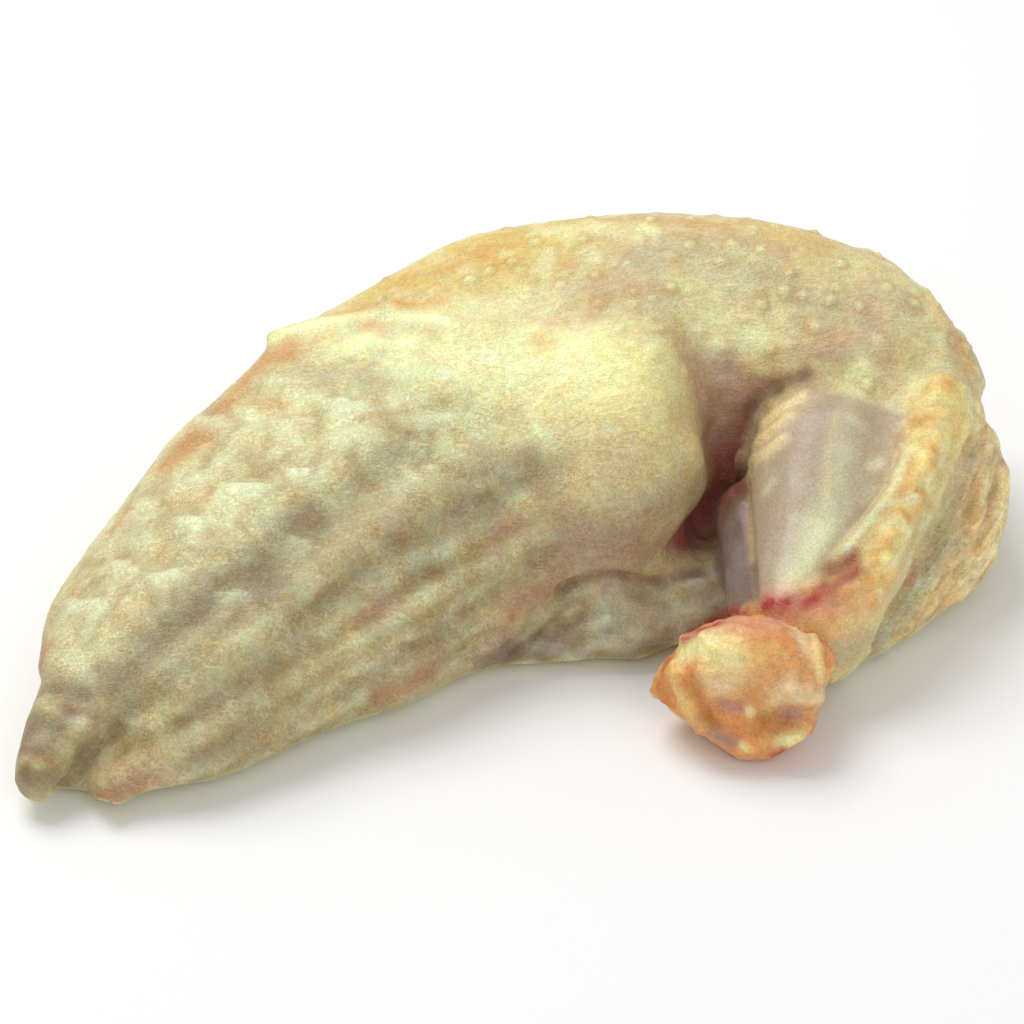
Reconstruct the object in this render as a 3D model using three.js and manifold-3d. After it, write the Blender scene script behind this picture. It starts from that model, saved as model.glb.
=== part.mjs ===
// Raw capon breast with its skin on and the wing's first joint left in place.
// Millimetres, +Z up. The breast lies on its cut side with the thin end at -X, the shoulder at +X,
// and the wing folded forward to -Y, so that the cut end of its bone rests on the table.
// Every form is a distance field: negative inside, positive outside. The fields are blended
// like soft flesh and then skinned with one closed mesh for each piece.
import * as THREE from "three";
import Module from "manifold-3d";

const v3 = (x, y, z) => new THREE.Vector3(x, y, z);

// Cross sections of the breast from the thin end to the shoulder: how far the front bulges in Y and at
// what height, where the crest and the back foot lie in Y, and how high the crest stands.
const SECTIONS = [
  { x: -84, front: -29, belly: 4, crest: 0, back: 19, height: 21.5 },
  { x: -79, front: -29.5, belly: 4, crest: 9, back: 28, height: 25.5 },
  { x: -74, front: -30, belly: 4, crest: 16, back: 37, height: 29 },
  { x: -65, front: -29.5, belly: 5, crest: 30, back: 51, height: 35.5 },
  { x: -54, front: -27.5, belly: 6, crest: 41, back: 64, height: 40.5 },
  { x: -43, front: -20.4, belly: 6, crest: 54, back: 78, height: 44.5 },
  { x: -31, front: -11.5, belly: 6, crest: 61, back: 85, height: 48.5 },
  { x: -19, front: -5.5, belly: 7, crest: 69, back: 93, height: 52 },
  { x: -8, front: 4.5, belly: 9, crest: 75, back: 99, height: 54.3 },
  { x: 4, front: 12, belly: 14, crest: 76, back: 101, height: 56 },
  { x: 15, front: 16, belly: 18, crest: 75, back: 100, height: 58 },
  { x: 27, front: 25, belly: 22, crest: 73, back: 98, height: 60 },
  { x: 35, front: 42, belly: 24, crest: 72, back: 97, height: 60 },
  { x: 43, front: 45, belly: 24, crest: 72, back: 97, height: 59.5 },
  { x: 52, front: 42, belly: 24, crest: 72, back: 97, height: 58 },
  { x: 62, front: 41, belly: 23, crest: 71, back: 95, height: 55.7 },
  { x: 72, front: 42, belly: 22, crest: 68, back: 92, height: 53 },
  { x: 80, front: 46, belly: 20, crest: 65, back: 88, height: 47.5 },
];
const SAG_SHARE = 3.2; // how far a section would reach below its widest line, before the table flattens it
const THIN_END_CAP = 3; // how far the thin end rounds off past the first section
const SHOULDER_CAP = 11; // how far the shoulder rounds off past the last section
const FRONT_POWER = 1.95; // 2 is a round front face, more is a fuller one
const BACK_POWER = 1.95;
const TABLE_ROUND = 5; // rounding where the flesh meets the table

// Long soft ridges across the bared face. Each lies at its own distance along RIDGE_ACROSS.
const RIDGE_ACROSS = v3(-0.55, 0.48, 0.684);
const RIDGES = [
  { across: 57, width: 8, height: 1.3 },
  { across: 40.5, width: 5, height: 1.6 },
  { across: 25, width: 5, height: 1.6 },
];
// Where the ridges fade in from the thin end, fade out at the cheek, and fade in above the table.
const RIDGE_FADES = { thinEnd: [-84, -72], cheek: [-8, 8], table: [1, 8] };

// Each form below has a fillet, the width of the blend where it meets the flesh before it. A sunk form
// is pressed in instead of joined on.

// The cheek beside the wing, the lobe that shows below it and the crease between them.
const CHEEK = { at: v3(16, 44, 25), radii: v3(20.5, 29, 25), fillet: 7 };
const UNDER_LOBE = {
  fillet: 7,
  beads: [
    { at: v3(-8, 15.5, 5), radius: 6 },
    { at: v3(4, 16.5, 5), radius: 7.5 },
    { at: v3(22, 17.5, 5), radius: 7.5 },
    { at: v3(37, 26, 5), radius: 7.5 },
    { at: v3(46, 38, 6), radius: 9 },
  ],
};
const LOBE_CREASE = {
  sunk: true,
  fillet: 2,
  beads: [
    { at: v3(-15, -4.5, 3), radius: 2 },
    { at: v3(-6, 3.5, 7), radius: 2.4 },
    { at: v3(4, 9.5, 12), radius: 2.6 },
    { at: v3(10, 12, 14.5), radius: 2.6 },
    { at: v3(22, 15, 15), radius: 2.6 },
    { at: v3(37, 21.5, 14), radius: 2.6 },
  ],
};

// The lip where the bared flesh of the face ends and the skin of the back begins.
const LIP = {
  fillet: 4,
  beads: [
    { at: v3(-45, 57, 42.7), radius: 2.8 },
    { at: v3(-34, 58, 44.5), radius: 2.2 },
    { at: v3(-20, 58, 48), radius: 2 },
    { at: v3(-4, 51, 51), radius: 1.2 },
  ],
};

// The thin end's folded thumb of flesh, the groove beside it and the small tag below.
const THUMB = { from: v3(-78.5, -12, 12), to: v3(-84, -28.5, 6), thick: 8.5, thin: 5.6, fillet: 3 };
const THUMB_GROOVE = {
  sunk: true,
  fillet: 2,
  beads: [
    { at: v3(-66, -25, 18), radius: 1.5 },
    { at: v3(-70.8, -28, 13.5), radius: 3 },
    { at: v3(-76.3, -29.8, 8.8), radius: 3.2 },
    { at: v3(-79.8, -31.5, 3.5), radius: 3 },
  ],
};
const TAG = { from: v3(-70, -27, 5), to: v3(-73.5, -34.3, 3), thick: 5, thin: 3, fillet: 3 };

// The wing: outer web of skin, the muscle of its first joint, the smaller muscle behind it, and the
// roll of skin drawn along it down to the bone. The armpit is the hollow between it and the cheek.
const WEB = { at: v3(75, 43, 16), radii: v3(23, 19, 20), turn: [0, 0, 45], fillet: 8 };
const WEB_FOOT = {
  fillet: 6,
  beads: [
    { at: v3(61, 10, 5), radius: 5.5 },
    { at: v3(70, 22.5, 6), radius: 8.5 },
    { at: v3(82, 36, 9), radius: 9.5 },
  ],
};
const ARMPIT = { from: v3(42, 12, 20), to: v3(44, 40, 31), thick: 6, thin: 7, sunk: true, fillet: 4 };
const UNDER_WING = {
  fillet: 4,
  beads: [
    { at: v3(48, 24, 8), radius: 8 },
    { at: v3(61, 21, 9), radius: 9 },
    { at: v3(72, 34, 15), radius: 11 },
  ],
};
const DRUMETTE = { from: v3(60, 39.5, 26), to: v3(52, 6, 15.5), thick: 15, thin: 8.8, fillet: 2 };
const BACK_MUSCLE = { from: v3(44.5, 34, 20), to: v3(45.5, 9, 12), thick: 6, thin: 5.2, fillet: 2 };
const SKIN_ROLL = {
  fillet: 4,
  beads: [
    { at: v3(83, 58, 30), radius: 9 },
    { at: v3(80, 46, 32), radius: 8.5 },
    { at: v3(74, 31, 29), radius: 7 },
    { at: v3(67, 15, 22), radius: 6.5 },
    { at: v3(60, 4, 14), radius: 6.5 },
    { at: v3(58, 4, 7), radius: 5 },
  ],
};
const BEAD_FILLET = 2; // fillet between neighbouring stretches of one rope of beads

// The end of the wing bone with its gristle, and the neck that runs back into the wing.
const BONE_HEAD = { at: v3(43, -8, 12), radii: v3(14, 10.5, 12), fillet: 4 };
const BONE_LEFT = { at: v3(33.5, -8, 9.5), radii: v3(8, 7, 7), fillet: 4 };
const BONE_RIGHT = { at: v3(54.5, -5, 13), radii: v3(4.5, 4, 5), fillet: 3 };
const BONE_FOOT = { at: v3(44, -12.5, 6), radii: v3(11, 8.2, 7), fillet: 4 };
const BONE_NECK = { from: v3(45, -4, 11), to: v3(57, 22, 17), thick: 6.5, thin: 4.5, fillet: 4 };
const BONE_GAP = 0.35; // room between the bone and its socket in the meat
const BONE_ROUND = 2; // rounding where the bone meets the table

// The grid that the meshes are made on, and how they are evened out afterwards.
const MEAT_CELL = 3.5;
const BONE_CELL = 2.6;
const GRID_MIN = v3(-104, -50, -6);
const GRID_MAX = v3(106, 108, 68);
const RELAX_ROUNDS = 4;
const RELAX_KEEP = 0.4; // share of its own place that a vertex keeps in each round
const SETTLE_PASSES = 2;
const SETTLE_LIMIT = 1; // longest way that a vertex settles in one pass
const PROBE = 0.2; // distance over which a field's slope is measured
const LEAST_SLOPE = 0.2;
const TINY = 1e-6;

// Blends of two fields, where k is the width of the fillet between them.
const smoothUnion = (a, b, k) => {
  const h = Math.max(k - Math.abs(a - b), 0) / k;
  return Math.min(a, b) - (h * h * k) / 4;
};
const smoothCut = (a, b, k) => -smoothUnion(-a, b, k);
const smoothBoth = (a, b, k) => -smoothUnion(-a, -b, k);
const mix = THREE.MathUtils.lerp;
const clamp = THREE.MathUtils.clamp;
const fade = THREE.MathUtils.smoothstep;

// Distance to a bar with round ends whose radius goes from ra at a to rb at b.
const along = new THREE.Vector3();
const offset = new THREE.Vector3();
function bar(p, a, b, ra, rb) {
  along.subVectors(b, a);
  offset.subVectors(p, a);
  const t = clamp(offset.dot(along) / along.lengthSq(), 0, 1);
  return offset.addScaledVector(along, -t).length() - mix(ra, rb, t);
}

// The kinds of form, each made from its sizes: a taper is one bar, a rope a chain of bars through
// beads, and a lump an egg with turn as its Euler rotation in degrees.
const taper = (sizes) => ({
  ...sizes,
  distance: (p) => bar(p, sizes.from, sizes.to, sizes.thick, sizes.thin),
});

function rope(sizes) {
  const { beads } = sizes;
  const stretch = (p, i) => bar(p, beads[i].at, beads[i + 1].at, beads[i].radius, beads[i + 1].radius);
  const distance = (p) => {
    let d = stretch(p, 0);
    for (let i = 1; i < beads.length - 1; i++) d = smoothUnion(d, stretch(p, i), BEAD_FILLET);
    return d;
  };
  return { ...sizes, distance };
}

function lump(sizes) {
  const { at, radii, turn = [0, 0, 0] } = sizes;
  const euler = new THREE.Euler(...turn.map(THREE.MathUtils.degToRad));
  const toLocal = new THREE.Matrix4().makeRotationFromEuler(euler).setPosition(at).invert();
  const local = new THREE.Vector3();
  const distance = (p) => {
    local.copy(p).applyMatrix4(toLocal).divide(radii);
    const reach = local.length();
    const slope = local.divide(radii).length();
    return slope < TINY ? -Math.min(radii.x, radii.y, radii.z) : (reach * (reach - 1)) / slope;
  };
  return { ...sizes, distance };
}

// Field d with one more form joined on or pressed in.
function withForm(d, form, p) {
  const blend = form.sunk ? smoothCut : smoothUnion;
  return blend(d, form.distance(p), form.fillet);
}

// One value of the breast's sections at x, by a smooth curve through them.
function sectionAt(x, key) {
  const last = SECTIONS.length - 1;
  const inside = clamp(x, SECTIONS[0].x, SECTIONS[last].x);
  let i = 0;
  while (i < last - 1 && inside > SECTIONS[i + 1].x) i++;
  const s = SECTIONS[i];
  const e = SECTIONS[i + 1];
  const slope = (j) => {
    const before = SECTIONS[Math.max(j - 1, 0)];
    const after = SECTIONS[Math.min(j + 1, last)];
    return (after[key] - before[key]) / (after.x - before.x);
  };
  const width = e.x - s.x;
  const t = (inside - s.x) / width;
  const u = 1 - t;
  return (
    s[key] * (1 + 2 * t) * u * u +
    e[key] * (3 - 2 * t) * t * t +
    slope(i) * width * t * u * u -
    slope(i + 1) * width * t * t * u
  );
}

function breast(p) {
  const height = sectionAt(p.x, "height");
  const crest = sectionAt(p.x, "crest");
  const belly = sectionAt(p.x, "belly");
  const ahead = p.y < crest;
  const halfWidth = ahead ? crest - sectionAt(p.x, "front") : sectionAt(p.x, "back") - crest;
  const halfHeight = p.z > belly ? height - belly : belly * SAG_SHARE;
  const power = ahead ? FRONT_POWER : BACK_POWER;
  const u = Math.abs(p.y - crest) / halfWidth;
  const w = Math.abs(p.z - belly) / halfHeight;
  const past =
    Math.max(SECTIONS[0].x - p.x, 0) / THIN_END_CAP +
    Math.max(p.x - SECTIONS[SECTIONS.length - 1].x, 0) / SHOULDER_CAP;
  const round = Math.pow(Math.pow(u, power) + Math.pow(w, power), 1 / power);
  const reach = Math.hypot(round, past);
  const slope = Math.hypot(u / halfWidth, w / halfHeight, past / SHOULDER_CAP);
  return slope < TINY ? -halfHeight : (reach * (reach - 1)) / slope;
}

// Height of the soft ridges on the bared face, fading out towards its edges.
function ridges(p) {
  const lengthwise = fade(p.x, ...RIDGE_FADES.thinEnd) * (1 - fade(p.x, ...RIDGE_FADES.cheek));
  const upwards = fade(p.z, ...RIDGE_FADES.table);
  const across = p.dot(RIDGE_ACROSS);
  let height = 0;
  for (const ridge of RIDGES) {
    const away = (across - ridge.across) / ridge.width;
    height += ridge.height * Math.exp(-away * away);
  }
  return height * lengthwise * upwards;
}

const MEAT_FORMS = [
  lump(CHEEK),
  rope(UNDER_LOBE),
  rope(LOBE_CREASE),
  rope(LIP),
  taper(THUMB),
  rope(THUMB_GROOVE),
  taper(TAG),
  lump(WEB),
  rope(WEB_FOOT),
  taper(ARMPIT),
  rope(UNDER_WING),
  taper(DRUMETTE),
  taper(BACK_MUSCLE),
  rope(SKIN_ROLL),
];
function meat(p) {
  let d = breast(p) - ridges(p);
  for (const form of MEAT_FORMS) d = withForm(d, form, p);
  return smoothBoth(d, -p.z, TABLE_ROUND);
}

const BONE_FORMS = [lump(BONE_HEAD), lump(BONE_LEFT), lump(BONE_RIGHT), lump(BONE_FOOT), taper(BONE_NECK)];
function bone(p) {
  let d = BONE_FORMS[0].distance(p);
  for (const form of BONE_FORMS.slice(1)) d = withForm(d, form, p);
  return smoothBoth(d, -p.z, BONE_ROUND);
}
const socket = (p) => bone(p) - BONE_GAP;

// Skins a field with a closed mesh: one vertex for each grid cell that the surface crosses, placed at
// the middle of its crossings, and one quad for each grid edge that the surface crosses.
function skin(field, cell) {
  const size = v3(0, 0, 0).subVectors(GRID_MAX, GRID_MIN).divideScalar(cell).ceil();
  const [nx, ny, nz] = [size.x + 1, size.y + 1, size.z + 1];
  const index = (i, j, k) => i + nx * (j + ny * k);
  const value = new Float64Array(nx * ny * nz);
  const p = new THREE.Vector3();
  for (let k = 0; k < nz; k++)
    for (let j = 0; j < ny; j++)
      for (let i = 0; i < nx; i++) {
        p.set(i, j, k).multiplyScalar(cell).add(GRID_MIN);
        value[index(i, j, k)] = field(p);
      }

  const corners = [0, 1, 2, 3, 4, 5, 6, 7].map((c) => [c & 1, (c >> 1) & 1, c >> 2]);
  const edges = [];
  for (let a = 0; a < 8; a++) for (const bit of [1, 2, 4]) if (!(a & bit)) edges.push([a, a | bit]);
  const vertexOf = new Int32Array(value.length).fill(-1);
  const vertices = [];
  for (let k = 0; k < nz - 1; k++)
    for (let j = 0; j < ny - 1; j++)
      for (let i = 0; i < nx - 1; i++) {
        const at = corners.map(([x, y, z]) => value[index(i + x, j + y, k + z)]);
        const middle = v3(0, 0, 0);
        let crossings = 0;
        for (const [a, b] of edges) {
          if (at[a] < 0 === at[b] < 0) continue;
          const t = at[a] / (at[a] - at[b]);
          middle.x += mix(corners[a][0], corners[b][0], t);
          middle.y += mix(corners[a][1], corners[b][1], t);
          middle.z += mix(corners[a][2], corners[b][2], t);
          crossings++;
        }
        if (!crossings) continue;
        vertexOf[index(i, j, k)] = vertices.length;
        middle.divideScalar(crossings).add(v3(i, j, k)).multiplyScalar(cell).add(GRID_MIN);
        vertices.push(middle);
      }

  const quads = [];
  const axes = [
    [1, 0, 0],
    [0, 1, 0],
    [0, 0, 1],
  ];
  for (let k = 1; k < nz - 1; k++)
    for (let j = 1; j < ny - 1; j++)
      for (let i = 1; i < nx - 1; i++)
        axes.forEach((step, axis) => {
          const here = value[index(i, j, k)] < 0;
          const there = value[index(i + step[0], j + step[1], k + step[2])] < 0;
          if (here === there) return;
          const b = axes[(axis + 1) % 3];
          const c = axes[(axis + 2) % 3];
          const cellAt = (m, n) =>
            vertexOf[index(i - m * b[0] - n * c[0], j - m * b[1] - n * c[1], k - m * b[2] - n * c[2])];
          const ring = [cellAt(0, 0), cellAt(1, 0), cellAt(1, 1), cellAt(0, 1)];
          quads.push(here ? ring : ring.reverse());
        });
  return { vertices, quads };
}

// Evens out the mesh along the surface and puts each vertex back on the field's zero.
function relax({ vertices, quads }, field) {
  const near = vertices.map(() => new Set());
  for (const ring of quads)
    ring.forEach((a, i) => {
      near[a].add(ring[(i + 1) % 4]);
      near[a].add(ring[(i + 3) % 4]);
    });
  const slope = new THREE.Vector3();
  const probe = new THREE.Vector3();
  for (let round = 0; round < RELAX_ROUNDS; round++) {
    const moved = vertices.map((v, i) => {
      const mean = v3(0, 0, 0);
      for (const n of near[i]) mean.add(vertices[n]);
      return mean.divideScalar(near[i].size).lerp(v, RELAX_KEEP);
    });
    moved.forEach((v, i) => {
      for (let pass = 0; pass < SETTLE_PASSES; pass++) {
        const here = field(v);
        for (const axis of ["x", "y", "z"]) {
          probe.copy(v)[axis] += PROBE;
          slope[axis] = (field(probe) - here) / PROBE;
        }
        const way = clamp(here, -SETTLE_LIMIT, SETTLE_LIMIT);
        v.addScaledVector(slope, -way / Math.max(slope.lengthSq(), LEAST_SLOPE));
      }
      vertices[i].copy(v);
    });
  }
}

function geometryOf({ vertices, quads }) {
  const triangles = [];
  for (const [a, b, c, d] of quads) {
    const shortFirst = vertices[a].distanceTo(vertices[c]) <= vertices[b].distanceTo(vertices[d]);
    triangles.push(...(shortFirst ? [a, b, c, a, c, d] : [a, b, d, b, c, d]));
  }
  const geometry = new THREE.BufferGeometry().setFromPoints(vertices);
  geometry.setIndex(triangles);
  return geometry;
}

function skinned(field, cell) {
  const mesh = skin(field, cell);
  relax(mesh, field);
  return geometryOf(mesh);
}

const wasm = await Module();
wasm.setup();

const solidOf = (geometry) =>
  new wasm.Manifold(
    new wasm.Mesh({
      numProp: 3,
      vertProperties: geometry.attributes.position.array,
      triVerts: new Uint32Array(geometry.index.array),
    }),
  );

function fromSolid(solid) {
  const { vertProperties, triVerts } = solid.getMesh();
  const geometry = new THREE.BufferGeometry();
  geometry.setAttribute("position", new THREE.BufferAttribute(new Float32Array(vertProperties), 3));
  geometry.setIndex(new THREE.BufferAttribute(new Uint32Array(triVerts), 1));
  return geometry;
}

const meatMaterial = new THREE.MeshStandardMaterial({ color: 0xdcc592, roughness: 0.5, metalness: 0 });
const boneMaterial = new THREE.MeshStandardMaterial({ color: 0xdb9a58, roughness: 0.4, metalness: 0 });

const boneGeometry = skinned(bone, BONE_CELL);
const socketSolid = solidOf(skinned(socket, BONE_CELL));
const meatGeometry = fromSolid(solidOf(skinned(meat, MEAT_CELL)).subtract(socketSolid));

const part = new THREE.Group();
const addPiece = (name, geometry, material) => {
  const mesh = new THREE.Mesh(geometry, material);
  mesh.name = name;
  part.add(mesh);
};
addPiece("breast", meatGeometry, meatMaterial);
addPiece("wing_bone", boneGeometry, boneMaterial);

// The origin is the middle of the footprint, on the table.
const box = new THREE.Box3().setFromObject(part);
const middle = box.getCenter(v3(0, 0, 0));
part.position.set(-middle.x, -middle.y, -box.min.z);

export default part;
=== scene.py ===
"""Looks of a raw capon breast: fine flesh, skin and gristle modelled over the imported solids.

Lengths are millimetres until a mesh is written. Places on the side that the photograph shows are pixels of
its 1024 x 1024 frame, carried onto the surface along the rays of the camera."""
import math

import bpy
import numpy as np
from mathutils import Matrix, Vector, noise
from mathutils.bvhtree import BVHTree


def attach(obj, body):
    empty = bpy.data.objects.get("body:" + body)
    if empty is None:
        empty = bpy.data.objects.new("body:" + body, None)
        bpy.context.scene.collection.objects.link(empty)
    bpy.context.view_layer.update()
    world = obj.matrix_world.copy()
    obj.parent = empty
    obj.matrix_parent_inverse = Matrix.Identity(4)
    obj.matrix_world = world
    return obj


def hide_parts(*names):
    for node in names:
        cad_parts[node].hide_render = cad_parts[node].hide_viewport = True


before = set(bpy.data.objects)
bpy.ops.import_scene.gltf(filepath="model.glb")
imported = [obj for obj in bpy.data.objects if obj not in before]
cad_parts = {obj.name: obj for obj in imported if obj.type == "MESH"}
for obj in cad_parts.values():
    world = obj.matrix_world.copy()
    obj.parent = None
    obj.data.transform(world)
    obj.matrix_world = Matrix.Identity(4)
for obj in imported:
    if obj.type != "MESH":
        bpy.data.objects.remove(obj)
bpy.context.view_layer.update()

MM = 0.001
SEED = 7
NOISE_STEP = 19.7  # how far the noise of one seed lies from the next
PUFF_GAIN = 2.2

# The photograph's camera: it looks down at the breast from the front with a long lens.
PHOTO = 1024
PIXEL = 0.19
FOCAL = 3947.4
SENSOR = 36.0
TARGET = np.array((-3.4, 1.0, 20.0))
DISTANCE = 750.0
LOOK_DOWN = math.radians(35)
FORWARD = np.array((0.0, math.cos(LOOK_DOWN), -math.sin(LOOK_DOWN)))
UP = np.array((0.0, math.sin(LOOK_DOWN), math.cos(LOOK_DOWN)))
RIGHT = np.array((1.0, 0.0, 0.0))
EYE = TARGET - DISTANCE * FORWARD

# Meshes
MEAT_VOXEL = 0.83
BONE_VOXEL = 0.5
MEAT_SMOOTHING = 16
BONE_SMOOTHING = 8
SMOOTH_IN = 0.5
SMOOTH_OUT = -0.51
SEEN_MARGIN = 0.8
SEEN_ROUNDS = 6
STROKE_STEP = 7  # pixels between the rays that carry a line onto the surface
TRIM_ENDS = 10  # pixels over which a trim of the meat fades at its ends
FACET_EDGE = 1.5
FACET_SHARE = 0.8
CUFF_OVERLAP = 0.5  # how far the bone is let out within the meat's mesh, to close the gap of the socket
CUFF_SINK = 2.0  # how far the meat's mesh lies under the bone's bare end

# How strongly red, green and blue change where a tissue is lighter or darker: darker places are redder
SHADE_GAINS = np.array((0.75, 1.0, 1.3))

# Relief of the meat. Each line has its pixels, its width and its height, which is negative for a groove.
GROOVES = {
    "crease over the lobe": ([(560, 590), (584, 578), (613, 573), (639, 578), (656, 581), (680, 578),
                              (700, 572)], 1.2, -1.3),
    "edge of the slab": ([(480, 660), (502, 653), (530, 633), (550, 615), (560, 600), (566, 588)], 1.6, -1.4),
    "thumb groove": ([(118, 730), (102, 740), (88, 756), (76, 774), (60, 788)], 1.3, -1.5),
    "thumb wrinkle": ([(58, 708), (74, 714), (95, 720)], 0.9, -0.9),
    "thumb end wrinkle": ([(22, 751), (38, 756), (50, 763)], 0.9, -0.8),
    "above the thumb": ([(40, 690), (62, 693), (86, 700)], 1.6, -0.8),
    "muscle left edge": ([(746, 487), (750, 517), (752, 556), (754, 598)], 1.2, -1.2),
    "muscle top": ([(745, 415), (758, 398), (774, 388)], 1.5, -1.5),
    "end of the muscle top": ([(774, 388), (790, 380), (806, 374)], 1.2, -0.8),
    "muscle right edge": ([(909, 413), (909, 433), (897, 458), (882, 492), (858, 522), (834, 546), (821, 566),
                           (807, 583)], 1.2, -0.8),
    "valley beside the roll": ([(972, 448), (962, 480), (951, 510), (936, 540), (922, 565), (905, 597),
                                (888, 622), (872, 650)], 2.6, -2.3),
    "pit below the muscle": ([(832, 572), (846, 570), (852, 560)], 2.2, -1.5),
    "first dark band": ([(414, 456), (382, 474), (350, 502), (314, 532), (270, 574), (222, 604), (174, 642),
                         (118, 690)], 3.8, -1.3),
    "second dark band": ([(552, 466), (514, 484), (480, 514), (438, 548), (388, 574), (366, 588)], 4.0, -1.1),
    "low dark band": ([(337, 594), (295, 640), (240, 682), (180, 720)], 3.0, -0.8),
    "fold under the lip": ([(391, 327), (414, 333), (453, 334)], 0.8, -0.4),
    "hollow of the cheek": ([(534, 456), (518, 464), (502, 474)], 1.4, -0.35),
    "low hollow of the cheek": ([(534, 478), (520, 490), (506, 504)], 2.4, -0.6),
    "wrinkle beside the streak": ([(509, 556), (524, 560), (540, 556), (555, 549)], 1.0, -0.9),
    "wrinkle of the first ridge": ([(400, 638), (410, 646), (424, 644)], 0.9, -0.8),
    "lobe fold": ([(548, 634), (572, 620), (598, 608)], 1.1, -0.7),
    "under the cheek": ([(702, 510), (686, 530), (676, 545)], 2.6, -1.5),
    "top of the back muscle": ([(721, 500), (728, 491), (738, 486)], 2.2, -2.4),
    "web fold": ([(1000, 455), (992, 500), (975, 545), (948, 585), (915, 618)], 1.2, -0.9),
    "right of the roll": ([(962, 415), (950, 450), (938, 485), (922, 520), (908, 550)], 1.2, -0.8),
    "web wrinkle": ([(984, 440), (978, 480), (964, 530), (940, 572)], 1.1, -0.9),
}
RISES = {
    "skin roll": ([(946, 388), (938, 420), (925, 455), (914, 482), (902, 510), (890, 537), (877, 566),
                   (860, 590)], 3.4, 2.2),
    "roll end above": ([(912, 424), (922, 406), (938, 392)], 2.4, 1.0),
    "light fold of the roll": ([(962, 396), (966, 425), (956, 455)], 1.4, 0.7),
    "film beside the muscle": ([(905, 455), (893, 485), (878, 508), (860, 530), (845, 550)], 0.9, 0.6),
    "edge of the slab": ([(540, 596), (522, 622), (508, 641), (470, 660)], 4.0, 1.0),
    "lip": ([(272, 338), (287, 329), (320, 322), (345, 319), (368, 315), (402, 316), (432, 319), (455, 326)],
            1.8, 0.7),
    "tag on the lip": ([(386, 310), (394, 306)], 1.6, 1.4),
    "skin above the muscle": ([(760, 380), (780, 368), (805, 356), (832, 348)], 2.6, 0.6),
    "first ridge": ([(520, 552), (466, 579), (418, 609), (374, 638), (331, 660), (304, 680),
                     (280, 712)], 2.8, 1.0),
    "second ridge": ([(254, 632), (216, 669), (187, 694), (151, 728)], 2.6, 1.3),
    "short ridge": ([(228, 610), (186, 644), (152, 673)], 2.2, 0.7),
    "third ridge": ([(354, 546), (320, 574), (286, 602), (262, 630)], 2.4, 0.5),
    "ridge of the tag": ([(168, 742), (140, 757), (112, 775)], 2.2, 1.1),
    "light beside the streak": ([(520, 500), (535, 520), (540, 535)], 2.2, 0.7),
    "lobe light fold": ([(550, 624), (575, 610), (597, 598)], 1.8, 0.7),
    "flap over the crease": ([(615, 566), (640, 570), (665, 566), (690, 560)], 1.8, 0.6),
    "flap below the crease": ([(672, 580), (692, 579), (710, 584)], 1.2, 0.8),
    "thumb side": ([(84, 728), (72, 746), (62, 768)], 1.8, 0.7),
    "thumb top": ([(40, 706), (52, 710)], 1.8, 0.6),
    "thumb end": ([(26, 762), (40, 768)], 1.8, 0.6),
    "bulge of the cheek": ([(692, 452), (698, 466), (700, 480)], 4.0, 1.2),
    "first muscle fold": ([(750, 464), (766, 452), (780, 440)], 1.3, 0.7),
    "second muscle fold": ([(754, 445), (770, 430), (788, 416)], 1.3, 0.7),
    "fold at the muscle edge": ([(749, 478), (752, 520), (753, 560)], 1.0, 0.5),
    "third muscle fold": ([(762, 424), (782, 408), (804, 395)], 1.3, 0.7),
    "bump of the dome": ([(966, 348), (972, 357)], 2.2, 0.8),
    "beside the armpit": ([(743, 454), (739, 466), (733, 476)], 1.6, 2.0),
    "web edge": ([(990, 428), (1003, 480), (992, 540), (962, 592)], 2.2, 0.6),
    "web middle": ([(985, 470), (980, 525), (958, 570), (930, 608)], 1.6, 0.6),
    "web streak": ([(948, 545), (930, 572), (913, 598), (895, 623), (880, 646)], 1.0, 0.7),
}
PITS = [(355, 390), (450, 403), (315, 435), (268, 475), (215, 520), (140, 555), (387, 540),
        (245, 395), (195, 445), (309, 374), (362, 357), (540, 559), (405, 645)]
HILLS = [(761, 349), (793, 356), (713, 347), (846, 348), (868, 372), (938, 360)]
KNOBS = [(936, 392), (914, 424), (946, 408), (932, 440), (919, 470), (906, 500), (892, 530), (879, 559)]
TUFTS = [(265, 428), (285, 422), (345, 412), (360, 408), (440, 420), (428, 416), (195, 482), (182, 478),
         (248, 495), (232, 492), (315, 470), (190, 540), (215, 538), (110, 547), (145, 580), (285, 547),
         (377, 561), (503, 481), (410, 475), (404, 490), (75, 602), (90, 642), (112, 655), (300, 395)]
FOLLICLES = [(671, 287), (619, 329), (653, 354), (598, 304), (660, 329), (632, 292), (731, 286), (685, 372),
             (596, 276), (785, 291), (815, 326), (841, 264), (789, 273), (860, 307), (886, 288), (700, 330),
             (745, 318), (720, 262), (560, 285), (640, 240), (470, 281), (434, 291), (489, 271), (535, 243),
             (584, 239), (410, 300), (455, 300), (512, 262), (380, 300), (690, 245), (760, 250), (830, 300),
             (905, 270), (924, 286), (940, 304), (954, 326), (966, 348), (976, 372), (878, 256), (850, 244),
             (815, 234), (775, 226), (735, 221), (690, 219), (650, 220), (873, 467), (868, 385), (720, 345),
             (735, 365), (770, 350), (790, 345), (705, 400), (722, 425)]
FOLLICLE_SPACING = 6.5
FOLLICLE_COUNT = 260
STREWN_HEIGHT = 0.65

# Round spots: pixels, width and height
SPOTS = [(PITS, 2.4, -0.9), (TUFTS, 3.2, 0.3), (HILLS, 3.0, 0.8), (KNOBS, 2.2, 0.6)]

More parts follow.
